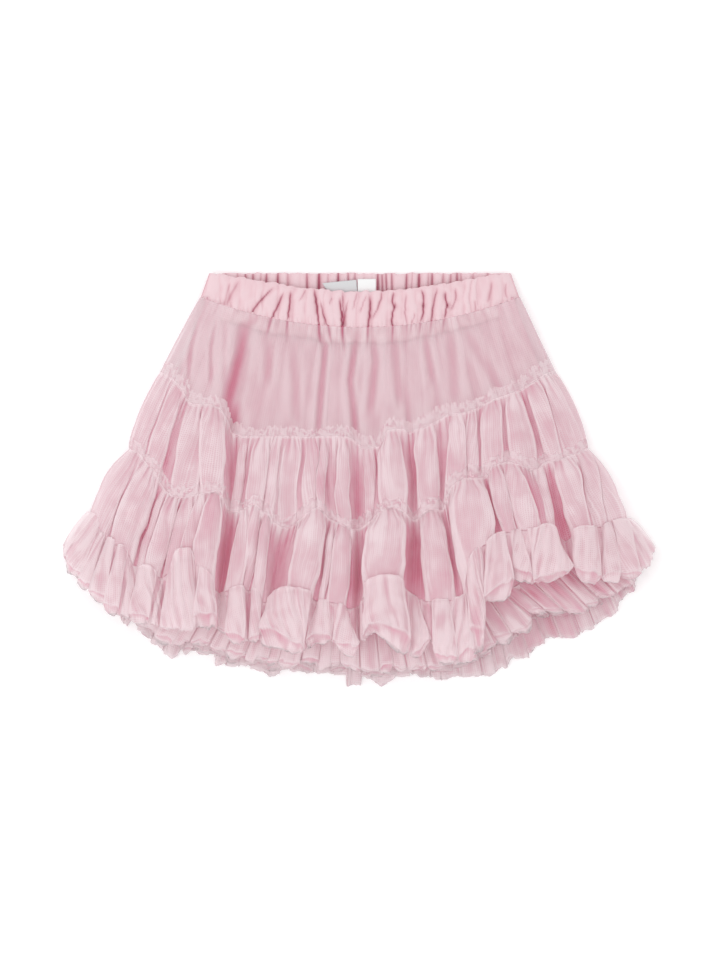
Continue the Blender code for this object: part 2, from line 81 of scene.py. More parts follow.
# The front's folds from the left side to the right: x, y at seam 1, seam 2, seam 3 and the hem, then the
# fold's lift over the arch of the cloth at each of the four.
FOLDS = np.array([
    (-141.4, 75.3, -163.1, 21.4, -190.4, -23.5, -206.8, -45.5, 0, 0, 0, 0),
    (-134.4, 71.8, -156.8, 18.6, -183.4, -33.3, -204.5, -62.0, .5, .5, 1, 2),
    (-129.5, 67.6, -152.6, 13.7, -177.8, -43.0, -188.0, -79.0, -.5, -.5, -2.5, -1.5),
    (-124.6, 61.3, -146.3, 7.4, -167.3, -46.6, -172.2, -92.8, .5, 1, 1.5, 2),
    (-121.8, 55.7, -140.0, -3.9, -158.2, -61.3, -156.8, -98.4, -1, -2, -3.5, -2),
    (-116.9, 52.2, -134.4, -10.2, -148.4, -62.7, -145.6, -101.2, .5, 1.5, 1, 1.5),
    (-112.0, 52.2, -125.3, -13.0, -139.3, -69.0, -134.4, -102.6, -.5, -.5, -3, -2.5),
    (-106.4, 52.2, -116.9, -11.6, -124.6, -56.4, -123.2, -104.0, 1, 2, 3, 4),
    (-102.9, 51.5, -109.9, -10.2, -117.6, -55.0, -114.8, -102.6, .3, 1, 2.2, 2),
    (-99.4, 49.4, -102.2, -8.8, -109.9, -62.7, -107.8, -101.9, 1.2, 2.5, 3.5, 4),
    (-93.1, 41.0, -95.9, -14.4, -101.5, -76.0, -100.1, -104.0, 1.5, 3, 3.5, 2.5),
    (-89.6, 31.9, -91.7, -22.8, -98.0, -79.5, -96.6, -106.8, -4, -5, -6.5, -5),
    (-81.9, 29.8, -86.8, -22.8, -93.1, -78.0, -91.7, -109.6, -1, -1.5, -1, -1),
    (-75.6, 29.8, -82.6, -22.1, -88.2, -76.7, -86.1, -112.4, -1, -2, 0, 1),
    (-69.3, 29.8, -74.9, -17.9, -84.0, -75.3, -81.9, -113.0, 1, 2.5, 2.5, 3),
    (-63.0, 29.8, -68.6, -22.8, -79.1, -77.4, -77.7, -112.4, 0, 1, -1.5, -1.5),
    (-57.4, 29.8, -65.1, -24.2, -72.8, -77.4, -72.1, -112.4, .8, 2.5, 2.5, 2.5),
    (-53.2, 29.8, -61.6, -29.8, -67.2, -85.8, -65.8, -113.8, .5, 2, 1.5, 0),
    (-47.6, 29.8, -51.1, -34.0, -60.9, -83.0, -58.1, -115.9, 0, -4, -6, -1),
    (-39.9, 29.1, -40.6, -27.7, -51.1, -78.0, -49.0, -119.4, -.5, .5, 1.5, 4),
    (-32.9, 29.8, -30.1, -20.0, -39.9, -78.8, -40.6, -120.8, 1, 3, 3.5, 4),
    (-23.8, 29.8, -21.0, -28.4, -29.4, -85.0, -30.1, -111.0, -1, -1, 0, -1.5),
    (-15.4, 29.8, -13.3, -31.2, -18.2, -85.8, -18.9, -112.4, .5, 2, 3, 3.5),
    (-8.4, 29.1, -5.6, -35.4, -7.0, -90.0, -7.0, -119.4, 0, 2, 2.5, 2),
    (-2.8, 25.6, -1.4, -35.4, -1.4, -88.6, -0.7, -112.4, -4, -5.5, -7, -3),
    (2.8, 22.1, 4.9, -31.9, 2.1, -84.4, 3.5, -111.0, -2, 1, 2.5, 1.5),
    (11.9, 22.1, 13.3, -23.5, 9.1, -73.9, 12.6, -105.4, -1, 2, 4, 3.5),
    (20.3, 34.0, 23.1, -20.0, 18.9, -71.0, 22.4, -113.8, 2, 4, 5, 5),
    (29.4, 34.7, 32.9, -25.6, 29.4, -73.2, 30.8, -119.4, 1.5, 3, 3.5, 2),
    (34.3, 32.6, 37.8, -29.1, 36.4, -80.9, 38.5, -122.9, -2, -4.5, -6.5, -2),
    (39.9, 34.7, 42.0, -27.0, 47.6, -85.0, 47.6, -112.4, .5, 1, 1, 0),
    (47.6, 37.5, 49.7, -21.4, 56.0, -84.4, 57.4, -126.4, 1.5, 3, 3, 3.5),
    (56.0, 41.0, 57.4, -22.1, 69.3, -83.0, 67.2, -126.4, -1.5, -2, 0, 1),
    (63.0, 45.2, 65.1, -5.3, 73.5, -77.4, 75.6, -122.9, .5, 2.5, 2, 2),
    (72.1, 45.9, 72.1, .4, 77.7, -59.9, 84.0, -117.0, 2, 4, 5, 3),
    (82.6, 49.4, 80.5, .4, 86.1, -45.2, 88.2, -84.4, -1.5, 3, 6.5, 6),
    (86.8, 52.2, 86.8, .4, 97.3, -40.3, 97.3, -81.6, -.5, -1, 3, 5),
    (93.1, 55.0, 94.5, 9.5, 102.9, -36.8, 102.9, -76.0, 1.5, 3, 5, 4.5),
    (100.1, 57.8, 104.3, 11.6, 111.3, -35.4, 109.2, -66.9, -.5, 0, 2, 1),
    (106.4, 59.9, 113.4, 9.5, 121.1, -34.7, 119.0, -71.8, 1, 2.5, 4, 5),
    (109.9, 61.3, 121.1, 6.0, 131.6, -31.9, 131.6, -66.9, 0, -1, 2.5, 4),
    (113.4, 62.7, 130.9, 11.6, 144.2, -43.0, 147.0, -61.3, -1.5, -2.5, -4, -1),
    (119.7, 66.9, 139.3, 13.7, 155.4, -33.3, 156.8, -68.3, .5, 2, 3, 3),
    (126.7, 71.1, 149.8, 16.5, 167.3, -33.3, 168.7, -70.4, -.5, -.5, -1, -1),
    (132.3, 73.9, 156.1, 20.0, 179.2, -29.1, 199.0, -63.5, .5, 1, 1.5, 2.5),
    (136.5, 75.3, 161.0, 22.0, 188.3, -27.0, 208.6, -47.3, 0, 0, 0, 0),
])
LAST_FOLD = len(FOLDS) - 1
# The column of the first lift.
FIRST_LIFT = 8
# Valleys deeper than this keep a round bottom.
ROUND_VALLEY = -3.6

# The columns of the tables of petals and lobes after the four places of the sides; petals have the first
# two.
TALL, GAP_SHADE, RETREAT, BACK, MOUTH, SKEW = range(4, 10)
# The petals that gathered cloth stands up in: x of the left and right side at the upper seam, the same at the
# lower seam, height, and how dark the painted shade is on the low cloth between it and the next.
PETALS_2 = np.array([
    (-140.7, -132.3, -161.7, -151.9, 0.35, 0.5), (-131.6, -124.6, -151.2, -141.4, 0.6, 0.6),
    (-121.1, -112.0, -134.4, -112.7, 0.65, 0.2), (-111.7, -95.2, -112.4, -95.9, 1, 1),
    (-82.6, -77.7, -92.4, -84.7, 0.45, 0.7), (-73.5, -62.3, -81.9, -68.6, 0.85, 0),
    (-61.6, -55.3, -67.9, -60.9, 0.6, 0.4), (-53.2, -41.3, -58.1, -44.1, 0.5, 0.6),
    (-37.8, -28.7, -39.9, -30.8, 0.5, 0.4), (-28.0, -22.4, -30.1, -24.5, 0.75, 0.4),
    (-15.4, -7.7, -16.1, -5.6, 0.85, 0.65), (0.7, 10.5, 4.2, 9.1, 0.5, 0.7),
    (12.6, 28.0, 14.0, 33.6, 1, 0.65), (38.5, 53.9, 40.6, 56.0, 0.85, 0.75),
    (62.3, 72.1, 58.1, 74.9, 0.85, 0.45), (73.5, 81.9, 75.6, 83.3, 0.4, 0.6),
    (85.4, 99.4, 84.7, 100.8, 0.75, 0.6), (102.2, 113.4, 105.0, 126.0, 0.75, 0.6),
    (116.2, 126.7, 130.9, 142.8, 0.65, 0.6), (127.4, 134.4, 144.2, 158.9, 0.4, 0),
])
PETALS_3 = np.array([
    (-168.0, -155.4, -187.6, -177.1, 0.35, 0.5), (-154.7, -140.0, -176.4, -158.9, 0.65, 0.7),
    (-139.3, -135.8, -156.8, -152.6, 0.25, 0.6), (-135.1, -125.7, -151.9, -140.0, 0.65, 0.8),
    (-124.6, -114.8, -138.6, -128.8, 0.5, 0.4), (-114.1, -106.4, -128.1, -119.0, 0.4, 0.3),
    (-106.4, -95.9, -119.0, -101.5, 0.95, 1), (-84.0, -77.7, -95.9, -81.9, 0.7, 0.3),
    (-77.0, -68.6, -81.6, -77.7, 0.55, 0.65), (-67.2, -62.3, -76.3, -68.6, 0.8, 0.55),
    (-40.6, -22.4, -51.8, -32.9, 1, 0.75), (-20.3, -16.8, -29.4, -25.2, 0.6, 0.5),
    (-16.1, -6.3, -23.8, -9.8, 0.75, 0.95), (4.9, 30.8, 1.4, 30.1, 1.1, 0.95),
    (41.3, 56.7, 45.5, 67.2, 0.75, 0.6), (60.9, 86.8, 72.1, 95.2, 1.1, 1),
    (88.9, 98.7, 100.1, 109.9, 0.6, 0.4), (99.4, 112.0, 110.6, 127.4, 0.8, 0.8),
    (122.5, 129.5, 130.9, 137.2, 0.3, 1), (134.4, 150.5, 148.4, 162.4, 0.85, 0.4),
    (151.9, 161.0, 163.8, 173.6, 0.5, 0.3), (161.3, 162.4, 174.3, 187.6, 0.4, 0),
])
# The outer ruffle's lobes: the same, then how far the hem draws back, the rise back over the seam, how far
# the fold shows below the hem, and which way from the middle the hem draws back most, from -1 at the left
# to 1 at the right.
LOBES = np.array([
    (-190.4, -182.7, -207.9, -199.0, 1.0, 0.4, 1, 7, 3, 0.2),
    (-182.2, -179.2, -198.2, -191.1, 0.6, 0.5, 3, 2, 3, -0.3),
    (-178.5, -169.6, -189.7, -180.0, 1.0, 0.6, 2, 6, 4, 0.4),
    (-168.8, -163.1, -179.0, -170.1, 0.75, 0.5, 4, 3, 3, -0.2),
    (-160.3, -155.4, -167.3, -162.4, 0.4, 0.3, 1, 1, 0, 0),
    (-154.7, -140.7, -161.7, -149.1, 0.85, 0.8, 7, 5, 2, -0.2),
    (-137.9, -135.8, -147.0, -144.2, 0.3, 0.9, 2, 0, 0, 0),
    (-133.0, -112.7, -140.0, -116.2, 1, 0.4, -1, 11, 2, 0.3),
    (-111.0, -101.5, -114.8, -100.8, 0.9, 0.9, 11, 5, 2, 0),
    (-98.7, -92.4, -99.1, -93.8, 0.4, 0.3, 3, 1, 0, 0),
    (-90.7, -79.1, -93.1, -81.9, 0.8, 0.85, 5, 3, 3, -0.3),
    (-75.2, -68.6, -77.7, -71.5, 0.6, 0.7, 3, 3, 2, 0.4),
    (-65.1, -33.6, -69.5, -40.6, 1.1, 0.45, 13, 5, 3, -0.9),
    (-28.7, -20.3, -36.4, -20.3, 0.75, 0.45, 5, 2.5, 4, -0.3),
    (-15.8, -10.5, -18.2, -1.4, 0.75, 0.7, 4, 1.5, 4, 0.5), (-0.4, 2.1, 0.3, 2.8, 0.4, 0.3, 0, 2, 0, 0),
    (4.2, 30.1, 2.8, 33.6, 1.1, 0.5, 10, 7, 6, 0.9), (32.9, 39.9, 35.0, 48.3, 0.7, 0.6, 3, 2, 3, 0.8),
    (51.1, 60.2, 51.8, 67.9, 0.75, 0.4, 4, 2, 3, -0.4), (62.6, 74.9, 69.3, 78.8, 0.9, 0.5, 6, 2.5, 5, 0.3),
    (76.2, 85.2, 79.5, 86.6, 1.0, 0.4, 16, 5, 4, -0.5), (86.1, 102.2, 87.1, 105.7, 1.1, 0.5, 9, 6, 5, 0.8),
    (104.3, 113.4, 107.1, 119.0, 0.7, 0.4, 7, 2, 4, -0.7),
    (116.2, 137.2, 121.8, 147.7, 0.95, 0.9, 2, 2.5, 4, 0.3),
    (147.7, 166.6, 150.5, 167.3, 0.9, 0.4, 6, 2, 4, -0.2),
    (169.4, 177.6, 170.1, 181.8, 0.9, 0.4, 4, 3, 4, 0.3),
    (178.2, 186.9, 182.6, 196.0, 0.85, 0.3, 2, 2, 3, -0.3),
])

# Creases in the front of the casing: x, y at the top, x, y at the foot, depth, width.
CASING_CREASES = (
    (-91.7, 137.6, -95.9, 122.2, .8, 1.6), (-86.1, 138.3, -93.8, 123.6, .9, 2.2),
    (-63.0, 133.4, -77.0, 116.6, 1.9, 1.3), (-54.6, 129.9, -63.0, 111.7, 2.0, 1.2),
    (-49.0, 130.6, -51.1, 113.1, 2.0, 1.1), (-38.5, 133.4, -42.7, 126.4, .9, 1.2),
    (-32.2, 132.0, -28.7, 104.7, 2.2, 1.2), (-27.3, 124.3, -21.7, 104.7, 1.5, 1.1),
    (-19.6, 127.8, -21.7, 123.6, .7, .9), (-14.0, 125.7, -12.6, 106.1, 2.1, 1.1),
    (-11.9, 130.6, -11.9, 108.2, 1.0, .9), (-8.4, 125.7, -11.9, 108.2, 1.0, .9),
    (-2.1, 131.3, -4.9, 120.1, .9, 1.1), (4.2, 129.2, .7, 118.7, .9, 1.1),
    (7.0, 127.1, 5.6, 106.1, 2.0, 1.1), (15.4, 132.0, 9.8, 115.2, 1.5, 1.2),
    (23.8, 131.3, 24.5, 121.5, 1.9, 1.1), (24.5, 123.0, 23.1, 106.8, 2.0, 1.1),
    (32.9, 129.2, 32.9, 110.3, 1.0, 1.0), (38.5, 117.3, 36.4, 110.3, .9, .9),
    (43.4, 132.7, 44.8, 122.0, 1.7, 1.1), (44.8, 123.5, 42.7, 111.7, 1.9, 1.1),
    (53.9, 132.7, 50.4, 112.4, 1.6, 1.1), (60.2, 131.3, 61.6, 122.0, 1.8, 1.1),
    (61.6, 123.5, 59.5, 114.5, 1.8, 1.1), (67.2, 133.4, 64.4, 120.1, 1.2, 1.1),
    (81.2, 125.7, 81.9, 118.7, .8, 1.1), (93.1, 138.3, 90.3, 125.7, .9, 1.7),
    (103.6, 138.3, 103.6, 128.5, .9, 1.4),
)
# Those whose foot is below this height run on into the cloth under the casing.
RUNS_ON_BELOW = 116
# Creases inside the back of the waist: x, depth, width.
BACK_CREASES = (
    (-98, .8, 1.0), (-95, .9, .8), (-86.5, 1.0, 1.1), (-81, 1.7, 1.1), (-75.6, 1.5, 1.0), (-70, .9, .9),
    (-66, 1.6, 1.1), (-58, 1.7, 1.1), (-51, .9, 1.2), (-37.5, 1.6, 1.1), (-29, 2.2, 1.6), (-22.5, .9, 1.0),
    (-15.4, 2.1, 1.2), (-8.4, 1.6, 1.0), (-3.5, 1.2, .9), (12.6, 2.1, 1.2), (15.6, 1.5, .9), (18.4, 1.6, .9),
    (22.4, 1.6, 1.0), (33, 1.7, 1.0), (37, .9, .8), (41.8, 2.1, 1.2), (48.3, .9, .9), (51, 1.6, 1.0),
    (58.8, 1.0, .9), (64.2, 1.4, 1.1), (68.6, 1.8, 1.1), (71.4, .9, .9), (80, .8, 1.2), (90.3, 1.0, 1.3),
)
# Soft folds down the yoke: depth, width, then x, y from the casing down.
YOKE_FOLDS = (
    (3.0, 4.6, (-75.6, 113.0, -81.9, 108.2, -84.0, 90.6, -92.4, 55.6, -89.6, 34.6)),
    (1.0, 2.2, (-94.5, 115.2, -95.9, 69.6)),
    (1.2, 3.0, (-64.4, 104.7, -64.4, 69.6)),
    (1.0, 1.3, (-51.1, 111.7, -51.1, 101.2)),
    (0.9, 3.0, (-48.0, 101.2, -44.0, 41.6)),
    (2.1, 2.2, (-29.4, 104.7, -24.5, 94.2, -26.6, 69.6, -29.4, 34.6)),
    (1.2, 1.3, (-11.9, 104.7, -10.5, 90.6)),
    (2.1, 2.3, (-2.1, 104.7, -7.0, 69.6, -3.5, 34.6)),
    (1.6, 2.8, (8.4, 104.7, 11.2, 83.6, 7.0, 48.6)),
    (1.3, 3.4, (23.1, 104.7, 28.0, 55.6)),
    (1.5, 2.6, (45.5, 104.7, 50.4, 69.6)),
    (1.1, 3.4, (64.4, 104.7, 66.5, 55.6)),
    (1.0, 4.0, (73.5, 108.2, 98.0, 62.6)),
    (1.3, 1.6, (-113.0, 114.0, -119.0, 94.0, -121.0, 70.0)),
    (1.1, 1.4, (-101.0, 113.0, -105.0, 94.0, -105.0, 70.0)),
    (1.0, 3.0, (116.0, 108.0, 128.0, 82.0)),
)
# Lower edge of the turned-down allowance, x and y across the front.
ALLOWANCE_EDGE = np.array([
    (-112, 117), (-96.3, 111.7), (-81.9, 108.9), (-61.6, 102.6), (-33.6, 100.1), (-25.6, 96.3),
    (-5.6, 96.3), (21.7, 96.3), (48.3, 101.2), (66.5, 105.4), (93.1, 112.4), (112, 122.5),
])
# Hem lines of the ruffles that show below the outer one, x and y, with the steps of their pleats.
BACK_HEM = np.array([
    (-203, -52), (-196, -70), (-182, -83), (-169.4, -99.8), (-163.8, -103.3), (-161, -97.7), (-150.5, -111),
    (-133, -125.7), (-124.6, -120), (-114, -122), (-101.5, -124.3), (-100, -132), (-82, -130.6),
    (-63, -139.7), (-52.5, -133.4), (-28, -136.9), (-10.9, -136.9), (-10.2, -146), (.7, -146), (1.4, -139),
    (16, -144.6), (24.5, -138.3), (42, -136.9), (42.7, -139.7), (66.5, -139.7), (91, -138.3), (105, -132),
    (108.5, -126.4), (119, -123.6), (129.5, -113.8), (147, -111), (157.5, -108.2), (171.5, -99.8),
    (183.4, -87.9), (193.9, -73.9), (198, -56), (203, -48),
])
INNER_HEM = np.array([
    (-200, -52), (-185.5, -73.9), (-169.4, -89.2), (-154, -99.8), (-140, -112.4), (-128.8, -116.6),
    (-112, -114.5), (-102.2, -119.4), (-89.6, -122.9), (-75.6, -126.4), (-59.5, -129.2), (-42, -127.8),
    (-26.6, -131.3), (-10.5, -127.8), (4.2, -134.8), (21, -132), (38.5, -132), (56, -131.3), (73.5, -127.8),
    (88.2, -120.8), (101.5, -112.4), (115.5, -103.3), (121.1, -94.2), (138.6, -92), (155.4, -92),
    (168, -84.4), (182.7, -77.4), (195.3, -67.6), (200, -50),
])

# ---------------------------------------------------------------- the cloth
# Each piece's cloth and slot, its flat size in metres, how it is held and what it rests on.
PIECES = {
    "casing_front": ("poplin", "poplin", (0.25, 0.027), "gathered", ["casing_back"]),
    "casing_back": ("poplin", "poplin", (0.25, 0.03), "gathered", ["floor"]),
    "allowance_front": ("poplin", "poplin", (0.24, 0.011), "gathered", ["lining_front"]),
    "allowance_back": ("poplin", "poplin", (0.24, 0.011), "gathered", ["yoke_back"]),
    "label_fold": ("label_grey", "label_grey", (0.024, 0.012), "laid", ["casing_back"]),
    "label_size": ("label_white", "label_white", (0.0125, 0.017), "laid", ["casing_back"]),
    "lining_front": ("lining", "lining", (0.25, 0.165), "laid", ["lining_back"]),
    "lining_back": ("lining", "lining", (0.25, 0.165), "laid", ["inner_back"]),
    "inner_front": ("inner_tulle", "tulle", (0.34, 0.2), "gathered", ["lining_front"]),
    "inner_back": ("tier_tulle", "tulle", (0.34, 0.2), "gathered", ["tier_2_back", "tier_3_back"]),
    "yoke_front": ("yoke_tulle", "tulle", (0.27, 0.075), "gathered", ["allowance_front", "lining_front"]),
    "tier_2_front": ("tier_tulle", "tulle", (0.42, 0.065), "gathered", ["inner_front"]),
    "tier_3_front": ("tier_tulle", "tulle", (0.5, 0.068), "gathered", ["inner_front"]),
    "yoke_back": ("yoke_tulle", "tulle", (0.27, 0.075), "laid", ["floor"]),
    "tier_2_back": ("tier_tulle", "tulle", (0.36, 0.065), "gathered", ["floor"]),
    "tier_3_back": ("tier_tulle", "tulle", (0.42, 0.068), "gathered", ["floor"]),
    "ruffle_front": (
        "ruffle_tulle", "ruffle_tulle", (0.8, 0.074), "gathered", ["tier_3_front", "inner_ruffle_front"]),
    "inner_ruffle_front": ("ruffle_tulle", "ruffle_tulle", (0.7, 0.066), "gathered", ["inner_ruffle_back"]),
    "inner_ruffle_back": ("row_tulle", "ruffle_tulle", (0.7, 0.066), "gathered", ["ruffle_back"]),
    "ruffle_back": ("row_tulle", "ruffle_tulle", (0.62, 0.066), "gathered", ["floor"]),
}

# How cloth lies, in millimetres: fine, medium, broad, crest, soft, flute, gather and tooth are the spacing
# of gathers and of steps in a hem, and with _deep their height; sway, belly, puff, bulge and swing are how
# far it moves; fade is where fine gathers end; tone is its place on its colour's ramp, and shade, gap, far
# and shadow are shares of the ramp taken by painted shade: shade on its gathers, with painted highlight on
# their ridges, or near a row's seam under the cloth over it, gap on the low cloth between petals and lobes,
# far towards the right side and shadow beside the yoke's big fold. span is the height that takes the whole
# ramp in the painted shade and highlight of its relief. lift and follow are the shares that it takes of
# the folds' lifts and of the yoke's relief, deep is the height of the gathers of a sheet, crumple that of
# its wrinkles, floor its lowest height and foot that of its turned-down sides. full is a random lobe's
# width, open the share of the way down by which lobes stand open, and scallop, ragged and teeth are how
# far the hem runs in and out.
YOKE_LOOK = dict(
    sway=1.0, belly=1.0, fine=5.0, fade=10, medium=11, broad=26, lift=0.5, puff=0.6, crumple=0.12,
    crest=17, crest_deep=0.4, shade=0.1, fine_deep=0.5, medium_deep=0.55, broad_deep=0.7)
TIER_2_LOOK = dict(
    sway=1.6, belly=4.5, fine=3.6, fade=15, medium=9.5, broad=21, lift=0.6, puff=2.0, crumple=0.5,
    crest=12, crest_deep=0.9, shade=0.34, fine_deep=1.3, medium_deep=0.9, broad_deep=0.6, petal="folds_2",
    bulge=0.6, gap=(0.08, 0.36))
TIER_3_LOOK = dict(
    TIER_2_LOOK, sway=1.8, belly=4.0, fine=4.0, fade=16, medium=11, broad=23, lift=0.7, puff=2.5,
    crumple=0.6, crest=13, fine_deep=1.5, petal="folds_3", bulge=0.9, gap=(0.12, 0.5))
TIER_LOOKS = (YOKE_LOOK, TIER_2_LOOK, TIER_3_LOOK)
BACK_LOOK = dict(
    puff=0.3, deep=0.5, gather=8, seed=41, broad_deep=0.5, broad=20, span=5, tone=0.7, power=1, floor=0.3,
    follow=0, foot=0, belly=0)
LINING_LOOK = dict(
    BACK_LOOK, puff=0.4, gather=13, seed=31, broad_deep=1.0, broad=34, span=6, tone=0.8, power=1.3,
    floor=0.4, follow=0.8, shadow=0.6, foot=6.1)
INNER_LOOK = dict(
    BACK_LOOK, puff=1.0, deep=1.6, gather=8.5, seed=51, broad_deep=3.0, broad=24, span=10, tone=0.45,
    power=1.4, floor=2.4, follow=0.6, shadow=0.1, foot=4.0)
SHEET_LOOKS = {
    "lining_front": LINING_LOOK,
    "lining_back": dict(LINING_LOOK, seed=34, broad_deep=0.4, deep=0.2, puff=0, follow=0, foot=0),
    "inner_front": INNER_LOOK,
    "inner_back": dict(INNER_LOOK, seed=55, deep=0.5, broad_deep=0.6, floor=1.6, follow=0, foot=0),
    "yoke_back": BACK_LOOK,
    "tier_2_back": dict(BACK_LOOK, deep=0.9, gather=6, seed=44, belly=4.0),
    "tier_3_back": dict(BACK_LOOK, deep=0.9, gather=7, seed=47, belly=3.5),
}
OUTER_RUFFLE_LOOK = dict(
    fine=3.8, rows=32, under_rows=8, bulge=1.4, open=0.8, soft=6.5, soft_deep=1.5, scallop=1.5, ragged=1.2,
    teeth=1.2, tooth=5.5, fine_deep=1.0, swing=0.8, crumple=0.6, floor=1.0, tone=0.86, gap=0.42, shade=0,
    flute=4.4, flute_deep=1.1, far=0, belly=4.0)
ROW_LOOK = dict(
    full=11, fine=4.2, rows=20, under_rows=6, bulge=0.9, open=0.7, soft=6, soft_deep=1.3, scallop=1.0,
    ragged=0.8, teeth=2.2, tooth=8, fine_deep=0.8, swing=1.5, crumple=0.3, floor=4.4, tone=0.94, gap=0.3,
    shade=0.35, flute=4.8, flute_deep=0.8, far=0.34, belly=2.0,
    shapes=((0.3, 1.0), (0, 0.6), (-1, 4), (0, 1.5), (0, 4), (-0.8, 0.8)))
ROW_LOOKS = {
    "inner_ruffle_front": ROW_LOOK,
    "inner_ruffle_back": dict(ROW_LOOK, floor=2.8),
    "ruffle_back": dict(ROW_LOOK, floor=0.3, teeth=1.5, tooth=7, swing=0, tone=0.9,
                        shapes=((0.3, 0.8), (0, 0.4), (-0.5, 0.5), (0, 1), (0, 0.5), (-0.8, 0.8))),
}
# Where each kind of noise of the front tiers starts its seeds.
SEED = dict(petals=30, sway=40, drift=50, fine=60, medium=70, broad=80, crest=85, rough=90, crumple=95,
            heading=100, wrinkles=640, blotch=650)
# Lengths along a seam over which folds sway and gathers drift, and how far these drift, in millimetres.
SWAY_LENGTH, DRIFT_LENGTH, DRIFT = 17, 15, 3.2
# Share of the way down a tier by which its petals stand open.
OPEN_BY = 0.22
# Tones, from 0, deep, to 1, pale: cloth in one layer at the side edges, and tulle just below a seam, pale
# with its gathered threads and with a painted highlight that lifts the shade along the seam.
SIDE_TONE, JOIN_TONE = 0.7, 0.93
HEADING_ROWS = 10
STREAKS_PER_METRE = (520, 34, 1)

# ---------------------------------------------------------------- the stage, in metres
FLOOR_HALF, FLOOR_Z = 2.5, -0.0003
KEY_PLACE, KEY_SIZE = (-1.25, -0.35, 1.55), 1.5
SENSOR_WIDTH = 36
CAMERA_Y, CAMERA_LIFT = -0.00035, 0.03
CLEAR_LAYERS = 24


# ---------------------------------------------------------------- arithmetic on whole arrays
def mix(a, b, t):
    """Straight mix: a where t is 0, b where t is 1."""
    return a + (b - a) * t


def ease(low, high, t):
    """0 below low, 1 above high, and the cubic 3s² - 2s³ between."""
    s = np.clip((t - low) / (high - low), 0, 1)
    return s * s * (3 - 2 * s)


def hump(t):
    """0 at both ends and 1 in the middle: sin(πt), with t held from 0 to 1."""
    return np.sin(math.pi * np.clip(t, 0, 1))


def quarter(t):
    """Up from 0, steep at first, and level at 1: sin(πt/2), with t held from 0 to 1."""
    return np.sin(math.pi / 2 * np.clip(t, 0, 1))


def bell(d, power=2):
    """1 where d is 0 and nothing far from it: exp(-d ^ power)."""
    return np.exp(-(d**power))


def line(spec, t):
    """A line across the skirt: x = half · t, y = side - dip · (1 - t²) ^ bow."""
    half, side, dip, bow = spec
    return half * t, side - dip * np.clip(1 - t * t, 0, 1) ** bow


def arch(lie, t):
    """Height of arched cloth: edge + (crown - edge) · √(1 - t⁴)."""
    crown, edge = lie
    return edge + (crown - edge) * np.sqrt(np.clip(1 - t**4, 0, 1))


def through(knots, values, at):
    """Monotone cubic through values at the knots: each knot's slope is the weighted harmonic mean of those
    beside it, or 0 where one rises and one falls."""
    step = np.diff(knots)[:, None]
    rise = np.diff(values, axis=0) / step
    wide, narrow = 2 * step[1:] + step[:-1], step[1:] + 2 * step[:-1]
    same = rise[:-1] * rise[1:] > 0
    before, after = same * rise[:-1] + ~same, same * rise[1:] + ~same
    slope = np.zeros_like(values)
    slope[1:-1] = np.where(same, (wide + narrow) / (wide / before + narrow / after), 0)
    slope[0], slope[-1] = rise[0], rise[-1]
    i = np.clip(np.searchsorted(knots, at, side="right") - 1, 0, len(knots) - 2)
    t, h = ((at - knots[i]) / step[i, 0])[:, None], step[i]
    a, b = values[i], values[i + 1]
    return (a * (1 + 2 * t) * (1 - t) ** 2 + slope[i] * h * t * (1 - t) ** 2
            + b * t * t * (3 - 2 * t) - slope[i + 1] * h * t * t * (1 - t))


def wander(w, step, seed):
    """Smooth noise along w: random values from -1 to 1 a step apart, eased between."""
    knots = np.random.default_rng(seed).uniform(-1, 1, LINE_KNOTS)
    p = np.asarray(w) / step
    i = np.floor(p).astype(int)
    return mix(knots[i % LINE_KNOTS], knots[(i + 1) % LINE_KNOTS], ease(0, 1, p - i))


def crinkle(w, s, step_w, step_s, seed):
    """Smooth noise over a surface: random values from -1 to 1 on a lattice, eased both ways between."""
    knots = np.random.default_rng(seed).uniform(-1, 1, (SURFACE_KNOTS, SURFACE_KNOTS))
    p, q = np.broadcast_arrays(np.asarray(w) / step_w, np.asarray(s) / step_s)
    i, j = np.floor(p).astype(int), np.floor(q).astype(int)
    f, g = ease(0, 1, p - i), ease(0, 1, q - j)
    i, j, k, m = (number % SURFACE_KNOTS for number in (i, j, i + 1, j + 1))
    return mix(mix(knots[i, j], knots[k, j], f), mix(knots[i, m], knots[k, m], f), g)


def crumple(w, s, seed):
    """Fine uneven wrinkles, longer down the cloth than across: two sizes of crinkle added up."""
    w = np.asarray(w)[None, :]
    return 0.65 * crinkle(w, s, 3.1, 7.5, seed + 700) + 0.35 * crinkle(w, s, 1.7, 3.2, seed + 800)


def uneven_edges(low, high, spacing, seed, spread=0.45):
    """Edges of cells along a length, each spacing wide give or take the spread."""
    rng = np.random.default_rng(seed)
    count = int((high - low) / spacing * 1.7) + 12
    return low - 2 * spacing + np.cumsum(spacing * rng.uniform(1 - spread, 1 + spread, count))


def cells(w, edges):
    """For each place along w, the number of its cell and its share of the way through it."""
    i = np.clip(np.searchsorted(edges, w, side="right"), 1, len(edges) - 1)
    return i, np.clip((w - edges[i - 1]) / (edges[i] - edges[i - 1]), 0, 1)


def pleats(w, spacing, seed, sharp=0.6):
    """Gathers along w: ridges of uneven width and height, each height · sin(πt) ^ sharp, so that tops are
    round and valleys sharp; from -0.5 to 0.5."""
    edges = uneven_edges(np.min(w), np.max(w), spacing, seed)
    rng = np.random.default_rng(seed + HEIGHT_SEED)
    i, t = cells(w, edges)
    t = t ** rng.uniform(0.7, 1.4, len(edges))[i]
    return rng.uniform(0.45, 1, len(edges))[i] * hump(t) ** sharp - 0.5


def steps(w, spacing, seed):
    """Stepped edge along w: random level tops of uneven width, from -1 to 1, with short steep risers
    between."""
    edges = uneven_edges(np.min(w), np.max(w), spacing, seed, 0.55)
    level = np.random.default_rng(seed + HEIGHT_SEED).uniform(-1, 1, len(edges))
    i, t = cells(w, edges)
    return mix(level[i - 1], level[i], ease(0, 0.12, t))


